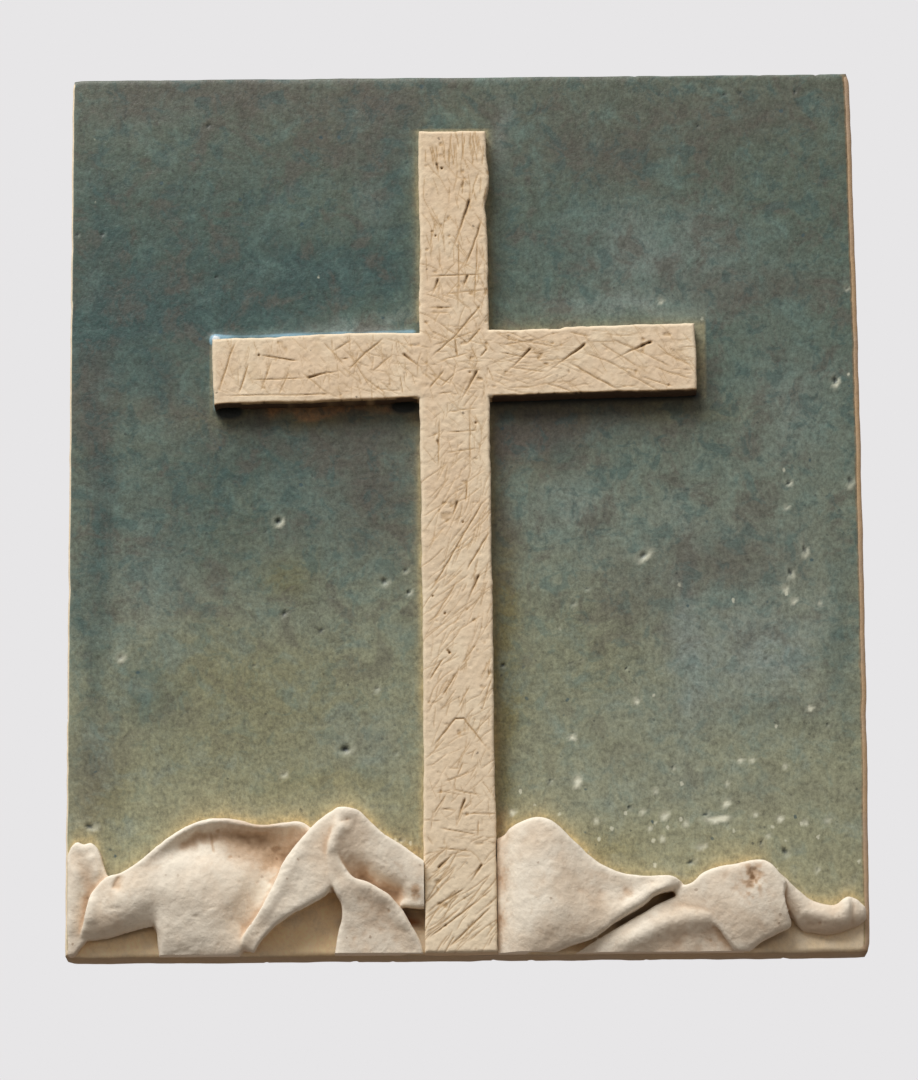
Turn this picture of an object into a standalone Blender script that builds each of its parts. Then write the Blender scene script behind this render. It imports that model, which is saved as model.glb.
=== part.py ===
"""Wall plaque: a glazed clay tile with an applied clay cross and folded clay drapery at its foot.

Metres, X to the right, Z up, the front towards -Y. The origin is the centre of the flat back face,
which lies on the wall. Four pieces of clay: the tile, the cross and one drapery on each side of it.
"""
import bpy
import bmesh
import math
import numpy as np

# Driving sizes, in metres
TILE_WIDTH = 0.2027
TILE_HEIGHT = 0.2296
TILE_THICKNESS = 0.0120
CORNER_RADIUS = 0.0012
ROLL_LEFT = 0.0008
ROLL_RIGHT = 0.0018
ROLL_TOP = 0.0008
ROLL_BOTTOM = 0.0014
ROLL_DEPTH = 0.0013
SIDE_BOW = 0.0008

SEAT_GAP = 0.0003
BEAM_WIDTH = 0.0178
BEAM_LENGTH = 0.2134
BEAM_LEAN = math.radians(0.27)
FOOT_OFFSET = -0.0018
ARM_LENGTH = 0.1235
ARM_DEPTH = 0.0177
ARM_RISE = 0.1512
ARM_TILT = math.radians(1.35)
CROSS_THICKNESS = 0.0055
CROSS_ARRIS = 0.0005
FOOT_SPREAD = 1.02
TOP_NARROWING = 0.96
SWELL = 0.0006
SWELL_FROM = 0.915
SWELL_AT = 0.940
SWELL_TO = 0.975
GOUGE_WIDTH = 0.0007
GOUGE_DEPTH = 0.0007
GOUGE_PROUD = 0.0003
HOLLOW_WIDTH = 0.0058
HOLLOW_HEIGHT = 0.0016
HOLLOW_DEPTH = 0.0016

SHEET = 0.0028
SHEET_ROUND = 0.0009
RELIEF = 0.0120
RISE_LEFT = 0.0360
RISE_RIGHT = 0.0340
LEAST_HEIGHT = 0.0012

# How finely the forms are divided, and how far hidden backs run into the cutters
CORNER_STEPS = 4
SIDE_STEPS = 8
ROLL_STEPS = 4
STEPS_ALONG = 40
STEPS_ACROSS = 16
BURIED = 0.0015
CUTTER_REACH = 0.05
FUSE_SIZE = 0.0006
KEPT_FACES = 0.10

# Gouges in the cross: head of the tool mark along the bar, across the bar, direction, length.
# Along is a share of the bar's length, across and length are shares of its width.
BEAM_GOUGES = [
    (0.915, 0.24, 252, 0.90), (0.946, -0.16, 262, 0.28), (0.922, 0.40, 250, 0.67),
    (0.820, -0.22, 250, 0.27), (0.824, 0.20, 255, 0.24), (0.712, 0.32, 240, 0.62),
    (0.626, -0.25, 272, 0.22), (0.550, 0.02, 252, 0.31), (0.458, 0.30, 244, 0.49),
    (0.372, -0.18, 306, 0.17), (0.312, -0.12, 220, 0.45), (0.310, 0.05, 318, 0.51),
    (0.190, 0.08, 248, 0.44), (0.104, 0.28, 236, 0.35), (0.100, -0.28, 45, 0.36),
]
ARM_GOUGES = [
    (0.095, 0.20, -8, 0.58), (0.193, -0.20, 8, 0.67), (0.392, 0.18, -38, 0.45),
    (0.655, 0.24, 222, 0.55), (0.770, 0.22, 216, 0.76), (0.905, 0.26, 202, 0.65),
    (0.735, 0.02, -28, 0.84), (0.045, 0.22, 252, 0.67),
]
HOLLOWS_ALONG_ARM = (0.052, 0.392)

# The clay sheets. Each has two edges, and its face is ruled from one to the other. A point is
# (share of the drapery's run, share of its rise, share of the relief's height).
END_FOLD = (
    [(0.000, 0.700, 0.36), (0.012, 0.765, 0.42), (0.028, 0.795, 0.46), (0.046, 0.780, 0.46),
     (0.068, 0.790, 0.46), (0.088, 0.740, 0.46), (0.100, 0.650, 0.42), (0.114, 0.560, 0.40),
     (0.140, 0.500, 0.38)],
    [(0.000, 0.010, 0.18), (0.008, 0.000, 0.20), (0.018, 0.000, 0.20), (0.028, 0.030, 0.22),
     (0.040, 0.070, 0.26), (0.055, 0.110, 0.30), (0.080, 0.170, 0.36), (0.105, 0.220, 0.38),
     (0.140, 0.250, 0.38)],
)
MAIN_SHEET = (
    [(0.066, 0.420, 0.50), (0.092, 0.500, 0.54), (0.117, 0.548, 0.58), (0.154, 0.575, 0.62),
     (0.213, 0.667, 0.67), (0.280, 0.806, 0.67), (0.363, 0.924, 0.67), (0.431, 0.944, 0.67),
     (0.486, 0.931, 0.62), (0.539, 0.904, 0.58), (0.610, 0.920, 0.58), (0.652, 0.925, 0.56),
     (0.695, 0.860, 0.52)],
    [(0.036, 0.108, 0.24), (0.112, 0.128, 0.26), (0.165, 0.163, 0.28), (0.226, 0.205, 0.30),
     (0.247, 0.180, 0.32), (0.256, 0.030, 0.32), (0.275, -0.050, 0.32), (0.401, -0.050, 0.34),
     (0.480, 0.000, 0.38), (0.520, 0.165, 0.44)],
)
LEG_FOLD = (
    [(0.759, 1.011, 0.88), (0.706, 0.923, 0.83), (0.672, 0.839, 0.83), (0.636, 0.737, 0.79),
     (0.602, 0.613, 0.75), (0.577, 0.476, 0.71), (0.549, 0.338, 0.67), (0.520, 0.224, 0.58),
     (0.492, 0.131, 0.52), (0.482, 0.045, 0.42)],
    [(0.739, 0.702, 0.80), (0.739, 0.450, 0.76), (0.683, 0.342, 0.72), (0.626, 0.268, 0.67),
     (0.573, 0.170, 0.60), (0.540, 0.080, 0.53), (0.523, 0.010, 0.46)],
)
SHOULDER_FOLD = (
    [(0.751, 1.004, 0.88), (0.785, 1.008, 0.92), (0.821, 0.976, 0.83), (0.854, 0.896, 0.75),
     (0.890, 0.820, 0.71), (0.943, 0.737, 0.67), (0.982, 0.659, 0.67), (1.040, 0.560, 0.67)],
    [(0.723, 0.647, 0.84), (0.744, 0.470, 0.70), (0.794, 0.416, 0.48), (0.855, 0.361, 0.42),
     (0.925, 0.328, 0.45), (0.973, 0.318, 0.48), (1.040, 0.310, 0.48)],
)
SKIRT_FOLD = (
    [(0.725, 0.703, 0.88), (0.728, 0.551, 0.83), (0.747, 0.427, 0.79), (0.766, 0.339, 0.71),
     (0.766, 0.231, 0.62), (0.754, 0.117, 0.54), (0.744, -0.050, 0.50)],
    [(0.753, 0.688, 0.88), (0.795, 0.523, 0.79), (0.839, 0.483, 0.75), (0.875, 0.435, 0.71),
     (0.909, 0.373, 0.67), (0.944, 0.258, 0.58), (0.985, 0.074, 0.46), (0.995, -0.050, 0.42)],
)
HILL_SHEET = (
    [(-0.040, 0.820, 0.50), (0.019, 0.870, 0.54), (0.041, 0.925, 0.62), (0.079, 0.966, 0.67),
     (0.125, 0.985, 0.71), (0.161, 0.940, 0.71), (0.196, 0.852, 0.67), (0.233, 0.757, 0.62),
     (0.271, 0.669, 0.58), (0.312, 0.601, 0.58), (0.360, 0.563, 0.58), (0.415, 0.553, 0.62),
     (0.469, 0.549, 0.67), (0.504, 0.501, 0.58)],
    [(-0.040, -0.050, 0.44), (0.056, -0.050, 0.50), (0.132, -0.025, 0.52), (0.198, 0.040, 0.52),
     (0.247, 0.083, 0.52), (0.285, 0.142, 0.51), (0.323, 0.215, 0.51), (0.359, 0.273, 0.52),
     (0.397, 0.339, 0.53), (0.435, 0.412, 0.53), (0.490, 0.449, 0.50)],
)
APRON_SHEET = (
    [(0.200, -0.020, 0.22), (0.275, 0.102, 0.32), (0.335, 0.196, 0.38), (0.392, 0.282, 0.42),
     (0.448, 0.362, 0.46), (0.500, 0.405, 0.50), (0.575, 0.375, 0.54), (0.666, 0.150, 0.46)],
    [(0.200, -0.060, 0.20), (0.361, -0.060, 0.26), (0.437, -0.060, 0.26), (0.519, -0.060, 0.26),
     (0.578, -0.060, 0.28), (0.627, -0.060, 0.30), (0.670, -0.060, 0.33)],
)
FLAP_SHEET = (
    [(0.474, 0.470, 0.52), (0.523, 0.493, 0.58), (0.561, 0.572, 0.62), (0.594, 0.606, 0.67),
     (0.648, 0.634, 0.67), (0.692, 0.663, 0.67), (0.725, 0.662, 0.67), (0.752, 0.610, 0.67),
     (0.784, 0.493, 0.62)],
    [(0.492, 0.365, 0.54), (0.538, 0.291, 0.58), (0.573, 0.216, 0.58), (0.605, 0.134, 0.56),
     (0.647, -0.005, 0.48), (0.677, -0.013, 0.46), (0.718, 0.066, 0.46), (0.756, 0.116, 0.46),
     (0.795, 0.175, 0.46), (0.787, 0.271, 0.48), (0.774, 0.360, 0.50)],
)
ROLLED_END = (
    [(0.723, 0.671, 0.46), (0.780, 0.546, 0.36), (0.812, 0.466, 0.30), (0.849, 0.383, 0.27),
     (0.879, 0.353, 0.26), (0.917, 0.339, 0.26), (0.950, 0.394, 0.32), (0.975, 0.381, 0.28),
     (1.000, 0.325, 0.22)],
    [(0.738, 0.485, 0.44), (0.781, 0.344, 0.30), (0.805, 0.243, 0.20), (0.829, 0.156, 0.12),
     (0.864, 0.140, 0.10), (0.902, 0.130, 0.10), (0.949, 0.160, 0.10), (0.983, 0.200, 0.10),
     (1.003, 0.240, 0.12)],
)

# Folds drawn on the sheets: a path of (run, rise) shares, its height as a share of the relief,
# below 0 for a valley, and its half width as a share of the sheet's thickness.
LEFT_STROKES = {
    "end_fold": [
        ([(0.030, 0.720), (0.018, 0.500), (0.012, 0.100)], 0.10, 0.90),
        ([(0.060, 0.720), (0.090, 0.530)], 0.08, 0.64),
        ([(0.064, 0.450), (0.050, 0.200)], -0.05, 0.80),
    ],
    "main_sheet": [
        ([(0.070, 0.420), (0.060, 0.200)], 0.08, 0.64),
        ([(0.260, 0.640), (0.363, 0.815), (0.431, 0.845), (0.520, 0.810), (0.620, 0.830)], -0.10, 0.85),
        ([(0.380, 0.760), (0.470, 0.740), (0.550, 0.720), (0.625, 0.740)], -0.22, 2.00),
        ([(0.213, 0.640), (0.285, 0.785), (0.363, 0.900), (0.431, 0.920),
          (0.539, 0.880), (0.650, 0.900)], 0.08, 0.45),
        ([(0.600, 0.660), (0.550, 0.450), (0.500, 0.220)], -0.18, 1.60),
        ([(0.150, 0.400), (0.300, 0.450)], 0.08, 2.14),
        ([(0.150, 0.560), (0.140, 0.440)], -0.08, 0.43),
    ],
    "leg_fold": [
        ([(0.660, 0.750), (0.580, 0.400), (0.520, 0.180)], 0.06, 0.71),
    ],
    "shoulder_fold": [
        ([(0.780, 0.940), (0.745, 0.800), (0.733, 0.650)], 0.08, 0.64),
        ([(0.775, 0.915), (0.777, 0.900)], -0.14, 0.43),
        ([(0.795, 0.600), (0.860, 0.470), (0.960, 0.370)], -0.18, 0.93),
    ],
    "skirt_fold": [
        ([(0.800, 0.500), (0.900, 0.360), (0.970, 0.100)], 0.08, 0.64),
    ],
}
RIGHT_STROKES = {
    "hill_sheet": [
        ([(0.120, 0.800), (0.140, 0.300)], 0.12, 3.57),
        ([(-0.005, 0.950), (-0.010, 0.000)], -0.28, 1.60),
        ([(0.260, 0.420), (0.380, 0.460)], -0.04, 1.00),
        ([(0.320, 0.250), (0.430, 0.440), (0.480, 0.490)], 0.07, 0.64),
    ],
    "apron_sheet": [
        ([(0.300, 0.000), (0.400, 0.130), (0.471, 0.210), (0.520, 0.240), (0.640, 0.240)], 0.18, 1.20),
    ],
    "flap_sheet": [
        ([(0.700, 0.600), (0.690, 0.480)], -0.06, 0.57),
        ([(0.560, 0.480), (0.660, 0.200)], 0.05, 1.43),
    ],
    "rolled_end": [
        ([(0.740, 0.620), (0.795, 0.420), (0.835, 0.290), (0.905, 0.240), (1.000, 0.260)], 0.14, 1.00),
        ([(0.950, 0.400), (0.950, 0.260)], 0.06, 0.50),
        ([(0.966, 0.460), (0.962, 0.160)], -0.04, 0.28),
    ],
}


def clear_objects():
    """Empty the scene."""
    for thing in list(bpy.data.objects):
        bpy.data.objects.remove(thing, do_unlink=True)


def clay_material(name, colour, roughness):
    """One Principled material in a plain colour."""
    material = bpy.data.materials.new(name)
    material.use_nodes = True
    shader = material.node_tree.nodes["Principled BSDF"]
    shader.inputs["Base Color"].default_value = (*colour, 1.0)
    shader.inputs["Roughness"].default_value = roughness
    shader.inputs["Metallic"].default_value = 0.0
    return material


def add_object(name, bm, material):
    """Put a finished bmesh into the scene under the name of its piece."""
    bmesh.ops.recalc_face_normals(bm, faces=bm.faces)
    mesh = bpy.data.meshes.new(name)
    bm.to_mesh(mesh)
    bm.free()
    mesh.materials.append(material)
    thing = bpy.data.objects.new(name, mesh)
    bpy.context.scene.collection.objects.link(thing)
    return thing


def as_guide(thing):
    """Mark an object as a cutter or a guide, which is no piece of the plaque."""
    thing.hide_render = True
    thing.display_type = "WIRE"
    return thing


def combine(target, tool, operation):
    """Join a guide to a piece, or cut the piece with it."""
    step = target.modifiers.new(f"{operation.lower()} {tool.name}", "BOOLEAN")
    step.operation = operation
    step.solver = "EXACT"
    step.object = tool
    return step


def stack_rings(bm, rings):
    """Skin equal rings of points, bottom cap to top cap, into one closed body."""
    levels = [[bm.verts.new(point) for point in ring] for ring in rings]
    count = len(levels[0])
    for lower, upper in zip(levels, levels[1:]):
        for i in range(count):
            j = (i + 1) % count
            bm.faces.new((lower[i], lower[j], upper[j], upper[i]))
    bm.faces.new(list(reversed(levels[0])))
    bm.faces.new(levels[-1])


def tile_ring(inset_share, y):
    """The tile's outline at depth y, drawn in by a share of the rolled edge on each side.

    The corners are quarter circles, and the right side swells outwards along half a sine wave.
    """
    left = -TILE_WIDTH / 2 + ROLL_LEFT * inset_share
    right = TILE_WIDTH / 2 - SIDE_BOW - ROLL_RIGHT * inset_share
    bottom = -TILE_HEIGHT / 2 + ROLL_BOTTOM * inset_share
    top = TILE_HEIGHT / 2 - ROLL_TOP * inset_share
    ring = []
    for x, z, start in ((right, bottom, -90), (right, top, 0), (left, top, 90), (left, bottom, 180)):
        centre_x = x - math.copysign(CORNER_RADIUS, x)
        centre_z = z - math.copysign(CORNER_RADIUS, z)
        for k in range(CORNER_STEPS + 1):
            angle = math.radians(start + 90 * k / CORNER_STEPS)
            reach_x, reach_z = CORNER_RADIUS * math.cos(angle), CORNER_RADIUS * math.sin(angle)
            ring.append([centre_x + reach_x, centre_z + reach_z])
        if (x, z) == (right, bottom):
            for k in range(1, SIDE_STEPS):
                ring.append([right, bottom + (top - bottom) * k / SIDE_STEPS])
    for point in ring:
        if point[0] > right - CORNER_RADIUS:
            point[0] += SIDE_BOW * math.sin(math.pi * (point[1] - bottom) / (top - bottom))
    return [(x, y, z) for x, z in ring]


def build_tile(material):
    """The slab: flat back, straight sides, and a front edge rolled over a quarter of an ellipse."""
    rings = [tile_ring(0.0, 0.0)]
    for k in range(ROLL_STEPS + 1):
        angle = math.radians(90 * k / ROLL_STEPS)
        y = -(TILE_THICKNESS - ROLL_DEPTH + ROLL_DEPTH * math.sin(angle))
        rings.append(tile_ring(1 - math.cos(angle), y))
    bm = bmesh.new()
    stack_rings(bm, rings)
    return add_object("tile", bm, material)


def front_of_tile():
    """Depth of the plane on which the applied clay sits."""
    return -(TILE_THICKNESS + SEAT_GAP)


def beam_point(along, across):
    """A point of the upright: along from its foot, across from its middle line, in metres."""
    x = FOOT_OFFSET + across * math.cos(BEAM_LEAN) - along * math.sin(BEAM_LEAN)
    z = -TILE_HEIGHT / 2 + along * math.cos(BEAM_LEAN) + across * math.sin(BEAM_LEAN)
    return x, z


def arm_point(along, across):
    """A point of the crossbar: along from its middle, across from its middle line, in metres."""
    mid_x, mid_z = beam_point(ARM_RISE, 0.0)
    x = mid_x + along * math.cos(ARM_TILT) - across * math.sin(ARM_TILT)
    z = mid_z + along * math.sin(ARM_TILT) + across * math.cos(ARM_TILT)
    return x, z


def cross_outline():
    """The corners of the cross, anticlockwise as seen from the front, with one soft swelling."""
    half_beam = BEAM_WIDTH / 2
    half_arm = ARM_DEPTH / 2
    reach = ARM_LENGTH / 2
    foot = half_beam * FOOT_SPREAD
    head = half_beam * TOP_NARROWING
    lower = ARM_RISE - half_arm
    upper = ARM_RISE + half_arm
    lift = half_beam * math.tan(ARM_TILT - BEAM_LEAN)
    points = [beam_point(0.0, -foot), beam_point(0.0, foot)]
    points += [beam_point(lower + lift, half_beam), arm_point(reach, -half_arm)]
    points += [arm_point(reach, half_arm), beam_point(upper + lift, half_beam)]
    points += [beam_point(SWELL_FROM * BEAM_LENGTH, half_beam - SWELL)]
    points += [beam_point(SWELL_AT * BEAM_LENGTH, half_beam + SWELL)]
    points += [beam_point(SWELL_TO * BEAM_LENGTH, half_beam)]
    points += [beam_point(BEAM_LENGTH, head), beam_point(BEAM_LENGTH, -head)]
    points += [beam_point(upper - lift, -half_beam), arm_point(-reach, half_arm)]
    points += [arm_point(-reach, -half_arm), beam_point(lower - lift, -half_beam)]
    return points


def gouge_cutter(name, marks, locate, length, width):
    """Tapering tool marks: each is a four-sided spike, deep at its head and shallow at its tail."""
    bm = bmesh.new()
    face_y = front_of_tile() - CROSS_THICKNESS
    for along, across, degrees, share in marks:
        reach = share * width
        head_x, head_z = locate(along * length, across * width)
        angle = math.radians(degrees)
        way_x, way_z = math.cos(angle), math.sin(angle)
        side_x, side_z = -way_z * GOUGE_WIDTH / 2, way_x * GOUGE_WIDTH / 2
        blunt_x, blunt_z = head_x - way_x * GOUGE_WIDTH / 2, head_z - way_z * GOUGE_WIDTH / 2
        tail = bm.verts.new((head_x + way_x * reach, face_y - GOUGE_PROUD, head_z + way_z * reach))
        left = bm.verts.new((head_x + side_x, face_y - GOUGE_PROUD, head_z + side_z))
        back = bm.verts.new((blunt_x, face_y - GOUGE_PROUD, blunt_z))
        right = bm.verts.new((head_x - side_x, face_y - GOUGE_PROUD, head_z - side_z))
        deep = bm.verts.new((head_x, face_y + GOUGE_DEPTH, head_z))
        bm.faces.new((tail, left, back, right))
        for first, second in ((tail, left), (left, back), (back, right), (right, tail)):
            bm.faces.new((second, first, deep))
    return as_guide(add_object(name, bm, clay_material(name, (0.5, 0.5, 0.5), 0.9)))


def hollow_cutter(name):
    """Two places where the crossbar's lower edge isn't pressed down, so it is hollow behind."""
    bm = bmesh.new()
    seat = front_of_tile()
    for share in HOLLOWS_ALONG_ARM:
        along = (share - 0.5) * ARM_LENGTH
        rings = []
        for y in (seat + BURIED, seat - HOLLOW_DEPTH):
            ring = []
            for step_x, step_z in ((-1, -1), (1, -1), (1, 1), (-1, 1)):
                across = -ARM_DEPTH / 2 + step_z * HOLLOW_HEIGHT
                x, z = arm_point(along + step_x * HOLLOW_WIDTH / 2, across)
                ring.append((x, y, z))
            rings.append(ring)
        stack_rings(bm, rings)
    return as_guide(add_object(name, bm, clay_material(name, (0.5, 0.5, 0.5), 0.9)))


def build_cross(material):
    """The cross: one cut slab of clay with softened arrises and the deeper tool marks."""
    seat = front_of_tile()
    face = seat - CROSS_THICKNESS
    outline = cross_outline()
    bm = bmesh.new()
    stack_rings(bm, [[(x, seat, z) for x, z in outline], [(x, face, z) for x, z in outline]])
    front_edges = [e for e in bm.edges if all(abs(v.co.y - face) < 1e-7 for v in e.verts)]
    bmesh.ops.bevel(bm, geom=front_edges, offset=CROSS_ARRIS, segments=2, profile=0.6, affect="EDGES")
    cross = add_object("cross", bm, material)

    def on_arm(along, across):
        return arm_point(along - ARM_LENGTH / 2, across)

    upright_marks = gouge_cutter("upright_marks", BEAM_GOUGES, beam_point, BEAM_LENGTH, BEAM_WIDTH)
    crossbar_marks = gouge_cutter("crossbar_marks", ARM_GOUGES, on_arm, ARM_LENGTH, ARM_DEPTH)
    for tool in (upright_marks, crossbar_marks, hollow_cutter("arm_hollows")):
        combine(cross, tool, "DIFFERENCE").use_self = True
    return cross


def smooth_curve(points, shares):
    """Points on a Catmull-Rom curve through the given ones, at shares of its chord length."""
    knots = np.asarray(points, dtype=float)
    steps = np.linalg.norm(np.diff(knots, axis=0), axis=1)
    position = np.concatenate(([0.0], np.cumsum(steps)))
    place = np.asarray(shares) * position[-1]
    first = np.clip(np.searchsorted(position, place, side="right") - 1, 0, len(steps) - 1)
    t = ((place - position[first]) / steps[first])[:, None]
    padded = np.vstack((2 * knots[0] - knots[1], knots, 2 * knots[-1] - knots[-2]))
    p0, p1, p2, p3 = padded[first], padded[first + 1], padded[first + 2], padded[first + 3]
    cubic = 2 * p1 + (p2 - p0) * t + (2 * p0 - 5 * p1 + 4 * p2 - p3) * t ** 2
    return (cubic + (3 * p1 - p0 - 3 * p2 + p3) * t ** 3) / 2


def spaced(steps, rim):
    """Shares from 0 to 1 with an extra narrow step at both ends, for a rounded rim."""
    inner = np.linspace(rim, 1 - rim, steps - 1)
    return np.concatenate(([0.0], inner, [1.0]))


def distance_to_path(x, z, path):
    """Distance of each grid point from the nearest point of a path of straight runs."""
    nearest = np.full(x.shape, np.inf)
    for (ax, az), (bx, bz) in zip(path, path[1:]):
        run_x, run_z = bx - ax, bz - az
        share = ((x - ax) * run_x + (z - az) * run_z) / (run_x ** 2 + run_z ** 2)
        share = np.clip(share, 0.0, 1.0)
        nearest = np.minimum(nearest, np.hypot(x - ax - share * run_x, z - az - share * run_z))
    return nearest


class Ground:
    """Where a drapery lies: its run along the tile's foot and its rise."""

    def __init__(self, start, end, rise):
        self.start = start
        self.run = end - start
        self.rise = rise
        self.floor = -TILE_HEIGHT / 2

    def place(self, points):
        """Shares of run, rise and relief into metres."""
        shares = np.asarray(points, dtype=float)
        scale = np.array([self.run, self.rise, RELIEF])[: shares.shape[1]]
        offset = np.array([self.start, self.floor, 0.0])[: shares.shape[1]]
        return shares * scale + offset


def clay_sheet(bm, ground, edges, strokes, free, belly):
    """Add one sheet of clay to a bmesh, as a closed solid that overlaps its neighbours.

    Its face is ruled between two smooth edges, raised and sunk by the strokes. The more belly it
    has, the nearer to its second edge it turns down. Where the sheet is
    free at its second edge, over the given shares of its length, its back follows the face at the
    sheet's thickness. Elsewhere the clay is packed down to the tile.
    """
    first, second = (ground.place(edge) for edge in edges)
    length = np.linalg.norm(np.diff(first, axis=0), axis=1).sum()
    breadth = np.linalg.norm(first.mean(axis=0) - second.mean(axis=0))
    along = spaced(STEPS_ALONG, SHEET_ROUND / length)
    across = spaced(STEPS_ACROSS, SHEET_ROUND / breadth)
    edge_a = smooth_curve(first, along)[:, None, :]
    edge_b = smooth_curve(second, along)[:, None, :]
    grid = edge_a + (edge_b - edge_a) * across[None, :, None]
    x, z = grid[..., 0], grid[..., 1]
    height = edge_a[..., 2] + (edge_b[..., 2] - edge_a[..., 2]) * across[None, :] ** belly
    for path, lift, half_width in strokes:
        distance = distance_to_path(x, z, ground.place(path))
        height += lift * RELIEF * np.exp(-(distance / (half_width * SHEET)) ** 2)
    height = np.maximum(height, LEAST_HEIGHT)
    rim = np.zeros_like(height, dtype=bool)
    rim[[0, -1], :] = True
    rim[:, [0, -1]] = True
    thickness_left = np.maximum(height - SHEET_ROUND, LEAST_HEIGHT / 2)
    face = front_of_tile() - np.where(rim, thickness_left, height)
    packed = front_of_tile() + BURIED
    begin, end, depth = free
    inside = (along >= begin) & (along <= end)
    reach = np.clip((across - (1 - depth)) / (depth / 2), 0.0, 1.0) if depth else across * 0.0
    open_share = inside[:, None] * reach[None, :]
    back = packed + (np.minimum(face + SHEET, packed) - packed) * open_share
    solid_from_grids(bm, x, z, face, back)


def solid_from_grids(bm, x, z, face, back):
    """Close a face grid and a back grid with walls along their four sides."""
    rows, columns = x.shape
    fronts = [[bm.verts.new((x[i, j], face[i, j], z[i, j])) for j in range(columns)] for i in range(rows)]
    backs = [[bm.verts.new((x[i, j], back[i, j], z[i, j])) for j in range(columns)] for i in range(rows)]
    for i in range(rows - 1):
        for j in range(columns - 1):
            bm.faces.new((fronts[i][j], fronts[i + 1][j], fronts[i + 1][j + 1], fronts[i][j + 1]))
            bm.faces.new((backs[i][j], backs[i][j + 1], backs[i + 1][j + 1], backs[i + 1][j]))
    border = [(i, 0) for i in range(rows)] + [(rows - 1, j) for j in range(1, columns)]
    border += [(i, columns - 1) for i in range(rows - 2, -1, -1)]
    border += [(0, j) for j in range(columns - 2, 0, -1)]
    for (i, j), (k, m) in zip(border, border[1:] + border[:1]):
        bm.faces.new((fronts[i][j], backs[i][j], backs[k][m], fronts[k][m]))


def box_guide(name, low, high):
    """A plain box for trimming."""
    bm = bmesh.new()
    rings = []
    for y in (low[1], high[1]):
        corners = ((low[0], low[2]), (high[0], low[2]), (high[0], high[2]), (low[0], high[2]))
        rings.append([(x, y, z) for x, z in corners])
    stack_rings(bm, rings)
    return as_guide(add_object(name, bm, clay_material(name, (0.5, 0.5, 0.5), 0.9)))


def upright_guide(name):
    """The upright with the gap around it, so the clay beside it stays clear of it."""
    half = BEAM_WIDTH / 2 * FOOT_SPREAD + SEAT_GAP
    ends = [(-CUTTER_REACH / 2, -half), (-CUTTER_REACH / 2, half)]
    ends += [(BEAM_LENGTH, half), (BEAM_LENGTH, -half)]
    outline = [beam_point(along, across) for along, across in ends]
    bm = bmesh.new()
    stack_rings(bm, [[(x, y, z) for x, z in outline] for y in (0.0, -CUTTER_REACH)])
    return as_guide(add_object(name, bm, clay_material(name, (0.5, 0.5, 0.5), 0.9)))


def trim_guides():
    """What trims the draperies: the plane they sit on, the knife along the foot, and the upright."""
    wide = TILE_WIDTH / 2 + CUTTER_REACH
    floor = -TILE_HEIGHT / 2
    below = floor - CUTTER_REACH
    seat = box_guide("seat_plane", (-wide, front_of_tile(), below), (wide, CUTTER_REACH, wide))
    knife = box_guide("foot_knife", (-wide, -CUTTER_REACH, below), (wide, CUTTER_REACH, floor))
    return [seat, knife, upright_guide("upright_clearance")]


def build_drapery(name, ground, sheets, strokes, trims, material):
    """Fuse one drapery's sheets into one body of clay and trim it against the tile and the cross."""
    clay = bmesh.new()
    for sheet_name, (edges, free, belly) in sheets.items():
        clay_sheet(clay, ground, edges, strokes.get(sheet_name, []), free, belly)
    body = add_object(name, clay, material)
    fuse = body.modifiers.new("fuse", "REMESH")
    fuse.mode = "VOXEL"
    fuse.voxel_size = FUSE_SIZE
    soften = body.modifiers.new("soften", "SMOOTH")
    soften.factor = 0.5
    soften.iterations = 3
    thin_out = body.modifiers.new("thin out", "DECIMATE")
    thin_out.ratio = KEPT_FACES
    for trim in trims:
        combine(body, trim, "DIFFERENCE")
    return body


def main():
    """Build the four pieces."""
    clear_objects()
    glaze = clay_material("glaze", (0.13, 0.20, 0.19), 0.4)
    bisque = clay_material("bisque", (0.72, 0.56, 0.42), 0.85)
    drape_clay = clay_material("drape_clay", (0.76, 0.62, 0.50), 0.85)
    build_tile(glaze)
    build_cross(bisque)
    trims = trim_guides()

    # Second: from where to where along the sheet its second edge is free, and how far in, then its belly
    left_sheets = {
        "end_fold": (END_FOLD, (0.00, 0.00, 0.00), 1.0),
        "main_sheet": (MAIN_SHEET, (0.00, 0.34, 0.28), 6.0),
        "leg_fold": (LEG_FOLD, (0.30, 1.00, 0.60), 4.0),
        "shoulder_fold": (SHOULDER_FOLD, (0.55, 1.00, 0.40), 2.0),
        "skirt_fold": (SKIRT_FOLD, (0.76, 1.00, 0.30), 1.5),
    }
    right_sheets = {
        "hill_sheet": (HILL_SHEET, (0.22, 1.00, 0.30), 7.0),
        "apron_sheet": (APRON_SHEET, (0.00, 0.00, 0.00), 1.0),
        "flap_sheet": (FLAP_SHEET, (0.40, 0.95, 0.35), 3.0),
        "rolled_end": (ROLLED_END, (0.00, 0.00, 0.00), 2.0),
    }
    half_foot = BEAM_WIDTH / 2
    left = Ground(-TILE_WIDTH / 2 + ROLL_LEFT, FOOT_OFFSET - half_foot, RISE_LEFT)
    right = Ground(FOOT_OFFSET + half_foot, TILE_WIDTH / 2 - ROLL_RIGHT, RISE_RIGHT)
    build_drapery("left_drapery", left, left_sheets, LEFT_STROKES, trims, drape_clay)
    build_drapery("right_drapery", right, right_sheets, RIGHT_STROKES, trims, drape_clay)


main()
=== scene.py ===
"""Looks of a ceramic cross wall plaque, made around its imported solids.

Metres, X to the right, Z up, the front towards -Y, the origin at the centre of the flat back face.
The tile, the cross and the two draperies are each one new mesh that stands for its solid.
"""

import logging
import math
from dataclasses import dataclass, field
from enum import Enum
from typing import Any, Sequence

import bpy
import numpy as np
from mathutils import Matrix, Vector


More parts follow.
